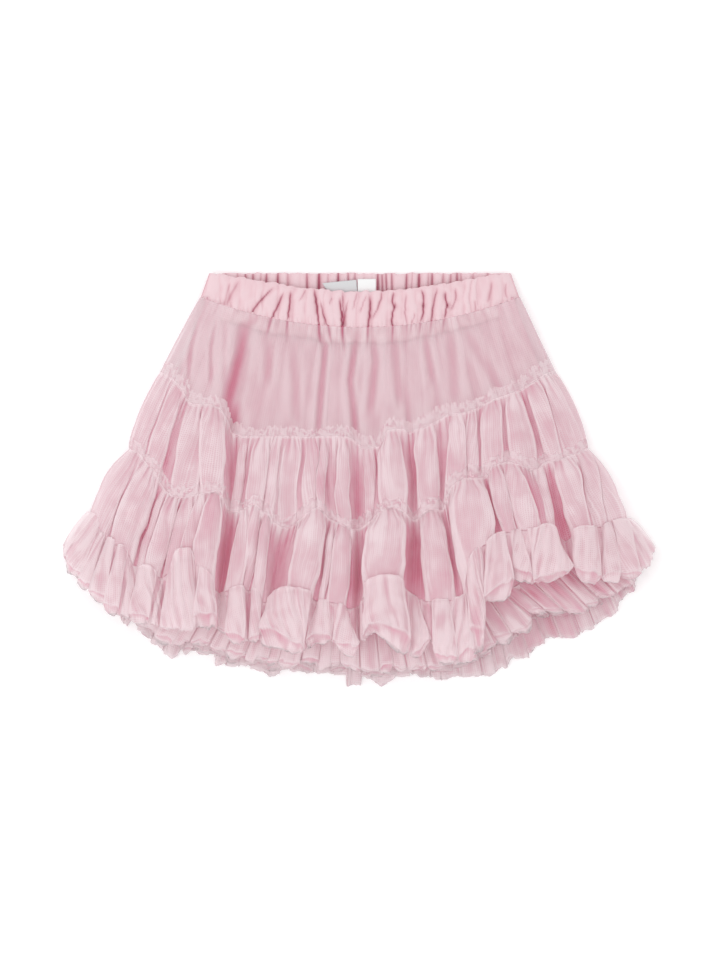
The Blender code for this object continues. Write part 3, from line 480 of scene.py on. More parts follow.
def blur(values, reach):
    """Mean of each row over reach columns on either side, with the ends held."""
    held = np.pad(values, ((0, 0), (reach + 1, reach)), mode="edge")
    total = np.cumsum(held, axis=1)
    return (total[:, 2 * reach + 1:] - total[:, :-2 * reach - 1]) / (2 * reach + 1)


def standing_out(z, reach):
    """How far each place stands over the mean height round it."""
    return z - blur(blur(z, reach), reach)


def height_shade_tone(z, reach, span, middle):
    """Tone of cloth from 0, deep, to 1, pale: middle, and the height over the mean round it, over span; so it
    is painted in shade where it lies low and painted in highlight where it stands high.
    """
    return np.clip(middle + standing_out(z, reach) / span, 0, 1)


def run_along(x, y):
    """Length run along a line of points, from its first."""
    return np.concatenate([[0], np.cumsum(np.hypot(np.diff(x), np.diff(y)))])


def run_length(points):
    """Length run along each row of a grid of points, from its first column."""
    step = np.linalg.norm(np.diff(points, axis=1), axis=2)
    return np.pad(np.cumsum(step, axis=1), ((0, 0), (1, 0)))


def grid(x, y, z):
    """Rows by columns of points from three arrays that broadcast."""
    return np.stack(np.broadcast_arrays(x, y, z), axis=-1).astype(float)


# ---------------------------------------------------------------- materials
def node(tree, kind, inputs, **settings):
    """A shader node with its settings; each of its inputs takes a value, or the socket that feeds it."""
    made = tree.nodes.new(kind)
    for name, value in settings.items():
        setattr(made, name, value)
    for name, value in inputs.items():
        if isinstance(value, bpy.types.NodeSocket):
            tree.links.new(value, made.inputs[name])
        else:
            made.inputs[name].default_value = value
    return made


def cloth_material(name, stops, rough, sheen, cell, net, bump, streak, glow, alpha=1.0):
    """Woven or netted cloth: tone from deep to pale, which carries painted shade and highlights, streaks
    along the cloth, a net or weave of cell metres on the piece's own UV, sheen, and a faint painted glow of
    pink light."""
    material = bpy.data.materials.new(name)
    material.use_nodes = True
    tree = material.node_tree
    tree.nodes.clear()
    tone = node(tree, "ShaderNodeAttribute", {}, attribute_name="tone")
    place = node(tree, "ShaderNodeUVMap", {}, uv_map="cloth").outputs[0]
    stretch = node(tree, "ShaderNodeMapping", {"Vector": place, "Scale": STREAKS_PER_METRE})
    threads = node(tree, "ShaderNodeTexNoise", {"Vector": stretch.outputs[0], "Scale": 1.0, "Detail": 4.0},
                   noise_dimensions="2D")
    weave = node(tree, "ShaderNodeTexVoronoi", {"Vector": place, "Scale": 1 / cell, "Randomness": 0.25},
                 voronoi_dimensions="2D", feature="DISTANCE_TO_EDGE").outputs["Distance"]
    shift = node(tree, "ShaderNodeMath", {0: threads.outputs[0], 1: 4 * streak, 2: tone.outputs["Fac"]},
                 operation="MULTIPLY_ADD")
    holes = node(tree, "ShaderNodeMath", {0: weave, 1: -net, 2: shift.outputs[0]}, operation="MULTIPLY_ADD")
    centred = node(tree, "ShaderNodeMath", {0: holes.outputs[0], 1: 2 * streak - 0.25 * net},
                   operation="SUBTRACT", use_clamp=True)
    colour = node(tree, "ShaderNodeValToRGB", {"Fac": centred.outputs[0]})
    ramp = colour.color_ramp.elements
    while len(ramp) < len(stops):
        ramp.new(0.5)
    for mark, (at, shade) in zip(ramp, stops):
        mark.position = at
        mark.color = (*shade[:3], 1)
    relief = node(tree, "ShaderNodeBump", {"Strength": bump, "Distance": 0.0002, "Height": weave})
    # The emission is a painted glow: pink light added into shade, standing in for light through the layers.
    shader = node(tree, "ShaderNodeBsdfPrincipled", {
        "Base Color": colour.outputs["Color"], "Normal": relief.outputs[0], "Roughness": rough,
        "Alpha": alpha, "Sheen Weight": sheen, "Sheen Roughness": 0.4, "Specular IOR Level": 0.2,
        "Emission Color": (*colours().glow[:3], 1), "Emission Strength": glow})
    node(tree, "ShaderNodeOutputMaterial", {"Surface": shader.outputs[0]})
    return material


# ---------------------------------------------------------------- meshes
def cloth(name, points, tone, flip=False, ring=False, heading_rows=0, thickness=0):
    """A grid of points in millimetres made the piece of that name: rows run from the waist down, columns
    from left to right, so faces look up, or down with flip. ring joins the last row to the first,
    heading_rows of faces wear the heading's thinner net, and thickness is given downwards. The UV map holds
    metres of cloth: across from the columns, and down from the rows' fall."""
    fabric, slot, flat, held, rests_on = PIECES[name]
    rows, columns = points.shape[:2]
    mesh = bpy.data.meshes.new(name + "_cloth")
    index = np.arange(rows * columns).reshape(rows, columns)
    if ring:
        index = np.vstack([index, index[:1]])
    a, b, c, d = index[:-1, :-1], index[1:, :-1], index[1:, 1:], index[:-1, 1:]
    quads = np.stack([a, d, c, b] if flip else [a, b, c, d], axis=-1).reshape(-1, 4)
    mesh.vertices.add(rows * columns)
    mesh.vertices.foreach_set("co", (points * MM).astype(np.float32).ravel())
    mesh.loops.add(quads.size)
    mesh.loops.foreach_set("vertex_index", quads.ravel().astype(np.int32))
    mesh.polygons.add(len(quads))
    mesh.polygons.foreach_set("loop_start", (np.arange(len(quads)) * 4).astype(np.int32))
    mesh.polygons.foreach_set("use_smooth", np.ones(len(quads), bool))
    mesh.update(calc_edges=True)
    across = run_length(points)[rows // 2]
    fall = run_length(points.transpose(1, 0, 2)).T
    place = np.stack(np.broadcast_arrays(across, fall), axis=-1).reshape(-1, 2) * MM
    mesh.uv_layers.new(name="cloth").data.foreach_set("uv", place[quads.ravel()].astype(np.float32).ravel())
    # tone is each point's place on its colour ramp: tone that differs at random, with painted shade in low
    # places and creases and painted highlight on tops and outlines.
    mesh.attributes.new("tone", "FLOAT", "POINT").data.foreach_set(
        "value", np.broadcast_to(tone, (rows, columns)).astype(np.float32).ravel())
    mesh.validate()
    mesh.materials.append(material_of(fabric))
    if heading_rows:
        mesh.materials.append(material_of("heading_tulle"))
        in_heading = np.arange(len(quads)) < heading_rows * (columns - 1)
        mesh.polygons.foreach_set("material_index", in_heading.astype(np.int32))
    piece = bpy.data.objects.new(name + "_cloth", mesh)
    bpy.context.collection.objects.link(piece)
    if thickness:
        shell = piece.modifiers.new("thickness", "SOLIDIFY")
        shell.thickness = thickness * MM
        shell.offset = -1
    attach(piece, "root")
    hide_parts(name)


def with_sides(points, tone, foot=1.2, tuck=1.0):
    """Turns the two side edges of a front sheet down to the back one: three more columns at each side, down
    to foot and in by tuck. Gives the points and the tone."""
    share = np.array([1.0, 0.66, 0.33])[None, :, None]

    def turned(edge, share, inward):
        """An edge column repeated down to foot, moved inward by the square of its share."""
        fall = share * (foot - edge[..., 2:]) * (0, 0, 1.0)
        return edge + fall + share**2 * tuck * np.array([inward, 0, 0])

    left, right = turned(points[:, :1], share, 1.0), turned(points[:, -1:], share[:, ::-1], -1.0)
    return np.concatenate([left, points, right], axis=1), np.pad(tone, ((0, 0), (3, 3)), mode="edge")


# ---------------------------------------------------------------- the front's folds
def lobe_section(t, phi):
    """Section of a round lobe from foot to foot: as t goes from 0 to 1 an angle goes from -phi to phi, the
    place across goes with its sine, from -1 to 1 where the lobe is widest, and the height with its cosine
    ^ 0.75, from 0 to 1. Past a quarter turn the lobe overhangs its feet. Also gives the place of the
    feet."""
    angle = phi * (2 * t - 1)
    widest = np.sin(np.minimum(phi, math.pi / 2))
    height = (np.cos(angle) - np.cos(phi)) / (1 - np.cos(phi))
    return np.sin(angle) / widest, np.clip(height, 0, 1) ** 0.75, np.sin(phi) / widest


def overhang(width, bulge):
    """Half the angle of a section width wide at its feet that stands out over them by bulge on either
    side."""
    return math.pi - np.arcsin(width / (width + 2 * bulge))


def lobe_rim(across, height, phi):
    """1 at the outline of an overhanging lobe, seen from above, and 0 elsewhere: where the painted highlight
    of a rim goes.
    """
    return ease(0.76, 1, np.abs(across)) * ease(1.45, 1.8, phi) * ease(0.05, 0.25, height)


def fold_lift(u, seam):
    """The folds' lifts read at u: a monotone cubic, but beside a fold lower than both its neighbours the
    cloth rises by the power of a sine, so that the valley is sharp. The deepest few stay round."""
    lifts = FOLDS[:, FIRST_LIFT + seam]
    smooth = through(np.arange(len(FOLDS)), lifts[:, None], u)[:, 0]
    i = np.clip(np.floor(u).astype(int), 0, LAST_FOLD - 1)
    t = u - i
    low = np.zeros(len(FOLDS), bool)
    low[1:-1] = (lifts[1:-1] < lifts[:-2]) & (lifts[1:-1] < lifts[2:]) & (lifts[1:-1] > ROUND_VALLEY)
    rising = mix(lifts[i], lifts[i + 1], quarter(t) ** 0.75)
    falling = mix(lifts[i + 1], lifts[i], quarter(1 - t) ** 0.75)
    return np.where(low[i], rising, np.where(low[i + 1], falling, smooth))


def station(index, u):
    """x, y, arch height and lift across the front at the casing's seam (0), seams 1 to 3 and the hem
    (4)."""
    k = 2 * max(index - 1, 0)
    x, y = through(np.arange(len(FOLDS)), FOLDS[:, k:k + 2], u).T
    t = 2 * (x - FOLDS[0, k]) / (FOLDS[-1, k] - FOLDS[0, k]) - 1
    if index:
        return x, y, arch(OUTER_LIE[index], t), fold_lift(u, index - 1)
    x, y = line(CASING_SEAM, t)
    return x, y, arch(OUTER_LIE[0], t), np.zeros_like(x)


def petals(rows, x, v):
    """A table's petals at places x, share v down the cloth: the petal's number, 1 inside a petal and 0
    between two, its width there and the share of the way across it. Its two sides run straight from the
    upper seam to the lower."""
    sides = mix(rows[:, :2].ravel(), rows[:, 2:4].ravel(), np.broadcast_to(v, x.shape)[..., None])
    passed = (x[..., None] >= sides).sum(axis=-1)
    side = np.clip(passed, 1, sides.shape[-1] - 1)[..., None]
    low, high = (np.take_along_axis(sides, i, axis=-1)[..., 0] for i in (side - 1, side))
    width = np.maximum(high - low, 0.5)
    inside = ((passed % 2 == 1) & (passed < sides.shape[-1])).astype(float)
    number = np.clip((side[..., 0] - 1) // 2, 0, len(rows) - 1)
    return number, inside, width, np.clip((x - low) / width, 0, 1)


def side_share(across):
    """How much of the sides' belly a place takes, as across goes from 0 to 1: (2 · across - 1)¹¹, from -1
    at the left side to 1 at the right."""
    return (2 * across - 1) ** 11


def front_tier(index, u, v, look):
    """A front tier between seam index and the next: x and y straight between the folds' places on its two
    seams, with a slow sway; z the arch, plus the folds' lifts, plus puff · sin(πv)^0.7, plus gathers that
    fade down from the top seam; steep fold sides lean out over what is beside them. Gives x, y, z, the
    length run along the upper seam, that down the cloth and the shade: painted shade and highlight on the
    gathers, painted shade on the low cloth between petals and a painted highlight along their outlines."""
    xa, ya, za, la = station(index, u)
    xb, yb, zb, lb = station(index + 1, u)
    w = run_along(xa, ya)
    row = w[None, :]
    length = np.hypot(xb - xa, yb - ya)
    down = v * length
    swell = hump(v)
    sway = look["sway"] * crinkle(row / SWAY_LENGTH, v, 1, 0.6, SEED["sway"] + index) * swell
    x = mix(xa, xb, v) + sway + look["belly"] * side_share(u / LAST_FOLD) * swell**0.7
    y = mix(ya, yb, v)
    lift = mix(la, lb, ease(0, 1, v)) * (1 + 0.35 * swell)
    drift = w + DRIFT * crinkle(row / DRIFT_LENGTH, v, 1, 0.6, SEED["drift"] + index) * v
    crest = -pleats(drift + 2.0 * v, look["crest"], SEED["crest"] + index, 0.55)
    fine = pleats(drift, look["fine"], SEED["fine"] + index) * bell(down / look["fade"])
    medium = pleats(drift, look["medium"], SEED["medium"] + index) * (0.45 + 0.55 * (1 - v))
    broad = pleats(drift, look["broad"], SEED["broad"] + index, 0.8) * (0.3 + 0.7 * swell)
    z = (mix(za, zb, v) + look["lift"] * lift + look["puff"] * swell**0.7
         + look["fine_deep"] * fine + look["medium_deep"] * medium + look["broad_deep"] * broad
         + look["crest_deep"] * crest * (0.35 + 0.65 * swell)
         + 0.5 * crinkle(row, down, 9, 12, SEED["rough"] + index)
         + look["crumple"] * crumple(w, down, SEED["crumple"] + index))
    # Painted shade in the gathers' valleys and painted highlight on their ridges.
    shade = look["shade"] * (1.6 * fine + 0.6 * medium)
    if index:
        rows = PETALS_3 if index == 2 else PETALS_2
        full = quarter(v / OPEN_BY) * mix(1, 0.6, ease(0.7, 1, v))
        waver = 0.9 * crinkle(row, down, 12, 14, SEED["petals"] + index) * swell
        number, inside, width, t = petals(rows, mix(xa, xb, v) + waver, v)
        tall = rows[number, TALL] * inside
        phi = mix(1.3, overhang(width, look["bulge"] * tall), full)
        across, height, feet = lobe_section(t, phi)
        height = height * inside
        x = x + width * (across / feet / 2 - (t - 0.5)) * full * inside
        z = z + size(look["petal"]) * (tall * height - 0.45) * full
        # Painted shade on the low cloth between petals, and a painted highlight along their outlines seen
        # from above.
        hollow = (1 - ease(0.02, 0.3, height)) * full * mix(*look["gap"], rows[number, GAP_SHADE] ** 1.5)
        rim = 0.55 * tall * lobe_rim(across, height, phi) * ease(0.02, 0.2, v)
        shade = shade + rim - hollow * mix(0.75, 1.15, v)
    return x, y, z, w, length, shade


def yoke_relief(x, y):
    """Soft folds down the yoke: along each fold's line a trough -depth · exp(-(d/width)²) with a low ridge
    on either side."""
    total = np.zeros(np.broadcast(x, y).shape)
    for depth, width, path in YOKE_FOLDS:
        px, py = np.array(path[::2]), np.array(path[1::2])
        d = x - np.interp(y, py[::-1], px[::-1])
        reach = ease(py[-1] - 8, py[-1] + 6, y) * (1 - ease(py[0] - 18, py[0] + 6, y))
        ridges = bell((d - 1.9 * width) / width), bell((d + 1.9 * width) / width)
        total += reach * depth * (0.35 * ridges[0] - bell(d / width) + 0.35 * ridges[1])
    return total


def yoke_shadow(x, y):
    """How deep the shade of the yoke's one big fold is, from 0 to 1, and how far a place lies to its
    left."""
    fold = np.array(YOKE_FOLDS[0][2])
    past = np.interp(y, fold[1::2][::-1], fold[::2][::-1]) - x
    return bell((past + 1) / 7.5) * (1 - 0.7 * ease(70, 100, y)), past


def tier_points(index, u, v):
    """A front tier's surface by the look of its own; the yoke, tier 0, has its soft folds added."""
    x, y, z, w, length, shade = front_tier(index, u, v, TIER_LOOKS[index])
    return x, y, z if index else z + yoke_relief(x, y), w, length, shade


def even_columns(index, count):
    """Fold numbers that share the line at a seam out evenly."""
    fine = np.linspace(0, LAST_FOLD, 4001)
    run = run_along(*station(index, fine)[:2])
    return np.interp(np.linspace(0, run[-1], count), run, fine)


def heading(index, u, w):
    """The crinkled heading of a gathered tier: a band up the foot of the tier above it with an uneven top
    edge, lying on it in small crinkles."""
    height, seed = size("heading"), SEED["heading"] + 10 * index
    tall = height * (1 + 0.3 * wander(w, 11, seed) + 0.22 * wander(w, 1.5, seed + 1))
    xa, ya = station(index - 1, u)[:2]
    xb, yb = station(index, u)[:2]
    above = np.hypot(xb - xa, yb - ya)
    share = np.linspace(1, 0, HEADING_ROWS, endpoint=False)[:, None]
    x, y, z = tier_points(index - 1, u, 1 - share * (tall / above)[None, :])[:3]
    row, down = w[None, :], share * height
    ripple = 0.6 * crinkle(row + 1.5 * share, down, 2.4, 2.4, seed + 2)
    ripple = (ripple + 0.6 * crinkle(row, down, 1.1, 1.5, seed + 4)) * (0.8 + 0.45 * wander(w, 8, seed + 5))
    tuft = 0.5 * pleats(w, 4.3, seed + 3)
    z = z + 0.35 + 0.45 * ripple + 0.5 * tuft * (0.5 + 0.5 * share)
    # Its tone follows the ripple: painted highlight on the crinkles' tops and painted shade in their dips.
    return grid(x, y, z), np.clip(0.86 + 0.5 * ripple, 0, 1)


# ---------------------------------------------------------------- pieces
def make_tier(index, name, columns, rows):
    """A front tier as a piece, with the heading that stands up from its upper seam; tier 0 is the yoke."""
    u = even_columns(index, columns)
    v = np.linspace(0, 1, rows)[:, None]
    x, y, z, w, length, shade = tier_points(index, u, v)
    rise = standing_out(z, columns // 45)
    row, down = w[None, :], v * length
    blotch = crinkle(row, down, 7, 16, SEED["blotch"] + index)
    wrinkles = crumple(w, down, SEED["wrinkles"] + index)
    if index:
        # Painted shade where the tier lies below the cloth round it, the painted shade and highlight of its
        # gathers and petals, and tone that differs at random.
        tone = 0.72 - 0.2 * ease(0.5, 2.8, -rise) + shade + 0.12 * wrinkles + 0.14 * blotch
    else:
        shadow, past = yoke_shadow(x, y)
        # The yoke is painted paler where it stands high and darker where it lies low, paler to the left of
        # its big fold; the shade of that fold, of the creases that run on from the casing and of its soft
        # folds is painted too.
        tone = np.clip(0.84 + rise / 6, 0, 1) + shade + 0.04 * wrinkles + 0.05 * blotch
        tone = tone + 0.08 * ease(3, 12, past) - 0.4 * shadow
        tone = tone - 0.42 * crease_shade_below(x, y) + 0.06 * yoke_relief(x, y)
    at_side = ease(0, 2.0, np.minimum(u, LAST_FOLD - u))
    tone = np.clip(mix(SIDE_TONE, tone, at_side), 0, 1)
    points = grid(x, y, z)
    if index:
        above, tone_above = heading(index, u, w)
        points = np.concatenate([above, points])
        # Just below the seam the tulle is pale: its gathered threads, with a painted highlight that lifts the
        # shade there.
        tone = np.concatenate([tone_above, mix(JOIN_TONE, tone, ease(0, 0.03, v))])
    cloth(name, *with_sides(points, tone), heading_rows=HEADING_ROWS - 1 if index else 0)


def ruffle_sheet(top, foot, seam_x, rows, look, seed):
    """A doubled ruffle between top and foot, each an array of x, y, z across, gathered into the lobes of a
    table that are read at seam_x along the seam. A lobe is plain at the seam and opens to an overhanging
    round towards the hem, and stands back over the seam in a shoulder. Its hem draws back by retreat in the
    lobe's crown, and below it shows the fold, which reaches on by mouth, lies as high as the lobe's feet
    and turns under to a smooth lower layer that runs back up to the seam."""
    s = np.linspace(0, 1, look["rows"])[:, None] ** 1.2
    w = run_along(foot[0] + seam_x, foot[1] + top[1]) / 2
    number, inside, width, t = petals(rows, mix(seam_x, foot[0], s), s)
    tall, retreat, back, mouth = (rows[number, column] * inside for column in (TALL, RETREAT, BACK, MOUTH))
    gap_shade, skew = rows[number, GAP_SHADE], rows[number, SKEW]
    own = np.random.default_rng(seed).uniform(-1, 1, len(rows))[number]
    dx, dy = foot[0] - top[0], foot[1] - top[1]
    run = np.hypot(dx, dy)
    ux, uy = dx / run, dy / run
    down = s * run

    def rough(step_w, step_s, kind, deep=down):
        """Noise of one kind over the ruffle, or over a part of it that is deep long."""
        return crinkle(w[None, :], deep, step_w, step_s, seed + kind)

    phi = mix(1.4, overhang(width, look["bulge"] * tall), ease(0, look["open"], s))
    across, height, feet = lobe_section(t, phi)
    height = height * inside
    side = np.clip(np.minimum(w, w[-1] - w) / 12, 0, 1)
    push = width * (across / feet / 2 - (t - 0.5)) * inside * ease(0, 0.1, s)
    push = push + look["swing"] * wander(w, 40, seed + 6) * s * side
    push = push + look["belly"] * side_share(w / w[-1]) * hump(s**0.6)
    standing = look["height"] * tall * np.sqrt(np.clip(width / 20, 0.3, 1.5))
    grown = quarter(s / 0.2)
    to_hem = ease(0.5, 1, s)
    soft = pleats(w + 1.5 * rough(9, 14, 4), look["soft"], seed + 1, 0.9)
    fine = pleats(w, look["fine"], seed + 2)
    flute = pleats(w + 1.2 * rough(8, 10, 17), look["flute"], seed + 18, 0.75) * ease(0.35, 1, s)
    crown = hump(t ** np.exp(0.7 * skew)) ** 0.8 * inside
    flap = steps(w, look["tooth"], seed + 3)
    ragged = look["ragged"] * wander(w, 4, seed + 7) + 0.45 * wander(w, 1.6, seed + 14) + look["teeth"] * flap
    reach = run - ragged - retreat * crown - look["scallop"] * soft - 0.9 * flute
    reach = reach * np.clip((s - 0.09) / 0.91, 0, 1) ** 1.05
    reach = reach - (back * height + 0.5 * wander(w, 1.8, seed + 16)) * hump(s / 0.34)
    z = mix(top[2], foot[2], s) + (standing * height - 0.35 * look["height"]) * grown * (0.75 + 0.25 * s)
    z = z + look["soft_deep"] * soft * grown + look["flute_deep"] * flute
    z = z - 0.6 * flap * to_hem
    z = z + look["fine_deep"] * fine * bell(down / 7) * ease(0, 0.05, s)
    z = z + 0.7 * rough(11, 13, 5) * grown + look["crumple"] * crumple(w, down, seed + 8)
    lowest = look["floor"] + 1.4 + 0.4 * height
    outer = grid(top[0] + ux * reach + push, top[1] + uy * reach, np.maximum(z, lowest))

    up = np.linspace(1, 0.02, look["under_rows"])[:, None]
    end = run - 0.4 * ragged + (mouth * crown)[-1] + 1.2 * wander(w, 4.5, seed + 12) * crown[-1]
    end = (end + 0.8 * wander(w, 1.5, seed + 13)) * up
    sunk = 0.35 * look["height"] - 0.12 * (standing * crown)[-1] + 1.1
    low = mix(top[2], foot[2], up) - sunk * ease(0, 0.2, up)
    under = grid(top[0] + ux * end + 0.35 * push[-1] * up, top[1] + uy * end,
                 np.maximum(low + 0.4 * soft[-1], look["floor"]))
    q = np.linspace(0, 1, 8)[1:-1, None, None]
    lip = mix(outer[-1:], under[:1], q)
    q = q[..., 0]
    turn = mix(outer[-1:, :, 2], under[:1, :, 2], 1 - (1 - q) ** 3)
    lip[..., 2] = turn + 0.5 * rough(2.6, 4, 15, deep=9 * q)

    # Painted shade on the low cloth between lobes, near the seam of rows under the cloth over them and
    # towards the right side; painted highlight along lobe outlines and shoulders; painted highlight and shade
    # on the tops and valleys of pleats, gathers, flutes and steps; a pale folded hem; and tone that differs
    # at random.
    hollow = (1 - ease(0.02, 0.4, height)) * mix(0.06, look["gap"], gap_shade) * mix(0.6, 1, grown) * side
    tone = (look["tone"] + 0.05 * own - hollow - look["shade"] * (1 - ease(0.3, 0.95, s))
            + 0.36 * lobe_rim(across, height, phi) + 0.2 * soft + 0.45 * fine * bell(down / 9)
            + 0.24 * flute - 0.07 * flap * to_hem + 0.16 * crumple(w, down, seed + 9)
            + 0.12 * rough(7, 9, 10) + 0.2 * rough(1.4, 18, 19) - look["far"] * ease(90, 125, foot[0])
            + 0.25 * height * bell((s - 0.09) / 0.05) * ease(0.5, 2.5, back) + 0.22 * ease(0.95, 1, s))
    # The fold below the hem: painted shade just under the hem's edge, paling towards its end, with random
    # crinkles and the painted shade and highlight of the pleats.
    lip_tone = mix(0.5, look["tone"] - 0.05, ease(0, 0.7, q)) + 0.3 * rough(2.2, 5, 11, deep=12 * q)
    lip_tone = lip_tone + 0.14 * soft[-1:]
    under_tone = np.full(under.shape[:2], look["tone"] - 0.1)
    under_tone[0] += 0.25
    tone = np.clip(np.concatenate([tone, lip_tone, under_tone]), 0, 1)
    return with_sides(np.concatenate([outer, lip, under]), tone, look["floor"], 0.6)


def make_front_ruffle(columns, look, seed):
    """The outer ruffle of the front: it hangs from the third tier's foot and its hem is the folds' last
    place."""
    u = even_columns(3, columns)
    top = [edge[0] for edge in front_tier(2, u, np.ones((1, 1)), TIER_LOOKS[2])[:3]]
    x, y, z, lift = station(4, u)
    points, tone = ruffle_sheet(top, (x, y, z + lift * 0.9), station(3, u)[0], LOBES, look, seed)
    cloth("ruffle_front", points, tone)


def make_line_ruffle(name, seam, hem, lie, columns, look, seed):
    """A ruffle whose seam is a line across the skirt and whose hem is given by points, with random lobes:
    look's shapes are the lowest and highest value of each of a lobe's columns after the places of its
    sides."""
    far = np.abs(hem[:, 0]).max()
    run = run_along(*hem.T)
    even = np.linspace(0, run[-1], columns)
    hem_x, hem_y = np.interp(even, run, hem[:, 0]), np.interp(even, run, hem[:, 1])
    t = np.clip(hem_x / far, -1, 1)
    x, y = line(seam, t)
    edges = uneven_edges(-far, far, look["full"], seed + 20)
    edges = edges[(edges > -far) & (edges < far)]
    low, high = np.array(look["shapes"]).T
    gap = np.random.default_rng(seed + 41).uniform(0, 0.12, len(edges) - 1) * np.diff(edges)
    feet = np.stack([edges[:-1] + gap, edges[1:] - gap], axis=1)
    shapes = np.random.default_rng(seed + 40).uniform(low, high, (len(gap), 6))
    rows = np.hstack([feet * seam[0] / far, feet, shapes])
    points, tone = ruffle_sheet((x, y, arch(lie[0], t)), (hem_x, hem_y, arch(lie[1], t)), x, rows, look, seed)
    cloth(name, points, tone)


def make_line_sheet(name, top, foot, lie, columns, rows, flip, seam=None):
    """A sheet between two lines across the skirt, arched from the first lie to the second, with gathers of
    its own. seam is the place down the sheet and the half height of a crinkled seam across it."""
    look = SHEET_LOOKS[name]
    t = np.linspace(-1, 1, columns)
    v = np.linspace(0, 1, rows)[:, None]
    (xa, ya), (xb, yb) = line(top, t), line(foot, t)
    w = run_along(xa, ya)
    length = np.hypot(xb - xa, yb - ya)
    x, y = mix(xa, xb, v), mix(ya, yb, v)
    z = mix(arch(lie[0], t), arch(lie[1], t), v ** look["power"]) + look["puff"] * np.sin(math.pi * v)
    z = z + look["deep"] * pleats(w, look["gather"], look["seed"]) * (1 - 0.4 * v)
    z = z + look["broad_deep"] * pleats(w, look["broad"], look["seed"] + 1, 0.8) * quarter(v)
    if look["follow"]:
        z = z + look["follow"] * yoke_relief(x, y)
    # Painted shade where the sheet lies lower than the cloth round it and painted highlight where it stands
    # higher.
    tone = height_shade_tone(z, max(3, columns // 40), look["span"], look["tone"])
    x = x + look["belly"] * side_share((t + 1) / 2) * hump(v) ** 0.7
    if look["follow"]:
        tone = tone - look["shadow"] * yoke_shadow(x, y)[0]
    if seam:
        band = bell((v - seam[0]) * length / seam[1], 4)
        ripple = crinkle(w[None, :], v * length, 2.6, 3.4, look["seed"] + 2)
        z = z + band * (0.8 + 1.1 * ripple)
        # The crinkled seam is pale, with painted highlight on its crinkles' tops and painted shade in their
        # dips.
        tone = mix(tone, np.clip(0.9 + 0.3 * ripple, 0, 1), band)
    points = grid(x, y, np.maximum(z, look["floor"]))
    if look["foot"]:
        points, tone = with_sides(points, tone, look["foot"])
    cloth(name, points, tone, flip=flip)


def front_creases(x, y):
    """Creases in the front casing: along each line a sharp trough and a wider soft one, fading at its ends,
    each the depth times a share of exp(-(d/width)²). Gives their relief and their shade."""
    total, shade = np.zeros((2, *np.broadcast(x, y).shape))
    for tx, ty, fx, fy, depth, width in CASING_CREASES:
        share = np.clip((ty - y) / (ty - fy), -0.3, 1.3)
        belly = hump(share)
        bend = 1.3 * wander(tx, 3, 9) * belly
        d = (x - mix(tx, fx, share) - bend - 0.35 * wander(y, 2.5, 10 + int(depth * 10))) / width
        reach = ease(-0.22, 0.12, share) * (1 - ease(0.88, 1.2, share))
        total -= reach * depth * (0.65 * bell(d / 0.7) + 0.5 * bell(d / 3.2))
        shade += reach * depth * (0.27 * bell(d / (0.18 + 0.2 * belly)) + 0.07 * bell((d - 1.0) / 1.8))
    return total, shade


def back_creases(x, y):
    """Creases inside the back of the waist: the same, all the way down, each with a slant of its own."""
    total, shade = np.zeros((2, *np.broadcast(x, y).shape))
    for at, depth, width in BACK_CREASES:
        d = (x - at - 0.06 * (145 - y) * wander(at, 9, 3)) / width
        total = total - depth * (0.8 * bell(d / 0.9) + 0.45 * bell(d / 3))
        shade = shade + depth * (0.26 * bell(d / 0.42) + 0.08 * bell((d - 0.9) / 1.7))
    return total, shade


def crease_shade_below(x, y):
    """Painted shade of the creases that run on from the casing into the cloth below it: a thin shade along
    each that reaches its foot, fading over 8 mm, and the painted shade of puckers at the seam."""
    seam_y = line(CASING_SEAM, np.clip(x / CASING_SEAM[0], -1, 1))[1]
    total = 0.25 * pleats(x + 0 * y, 3.4, 25) * bell((seam_y - y) / 4)
    for tx, ty, fx, fy, depth, width in CASING_CREASES:
        if fy < RUNS_ON_BELOW:
            d = (x - fx - (tx - fx) / (ty - fy) * (y - fy) * 0.6) / (0.75 * width)
            total = total + 0.6 * depth * bell(d) * bell(np.maximum(fy - 1 - y, 0) / 8)
    return total


def make_casing(name, t, rows, top, seam, middle, creases, relief, pale):
    """Half of the waist's casing, a flattened tube of cloth round elastic: an outer face from the top edge
    to the seam and an inner face back, apart by half_thick · (1 - (2v-1)⁶) ^ 0.5 · (1 - t³⁰) from the
    middle's height, but not thinner than 0.75 of it in the lower half, where the seam is. creases gives
    relief and shade, and relief the gathers."""
    half_thick = size("casing")
    v = (0.5 - 0.5 * np.cos(math.pi * np.linspace(0, 1, rows)))[:, None]
    round_edge = np.sqrt(np.clip(1 - (2 * v - 1) ** 6, 0, 1))
    thick = half_thick * np.maximum(round_edge, 0.75 * (v > 0.5)) * (1 - np.abs(t) ** 30)
    x, y = mix(top[0], seam[0], v), mix(top[1], seam[1], v)
    troughs, shade = creases(x, y)
    outer = grid(x, y, middle + thick + relief(x, y, troughs) * (thick / half_thick))
    inner = grid(x, y, middle - thick)[::-1][1:-1]
    # Painted highlight on the puffs, painted shade where the face lies low and in its creases.
    tone = np.clip(height_shade_tone(outer[..., 2], 12, 3.6, pale) - shade, 0, 1)
    tone = np.concatenate([tone, np.full(inner.shape[:2], SIDE_TONE)])
    cloth(name, np.concatenate([outer, inner]), tone, ring=True)


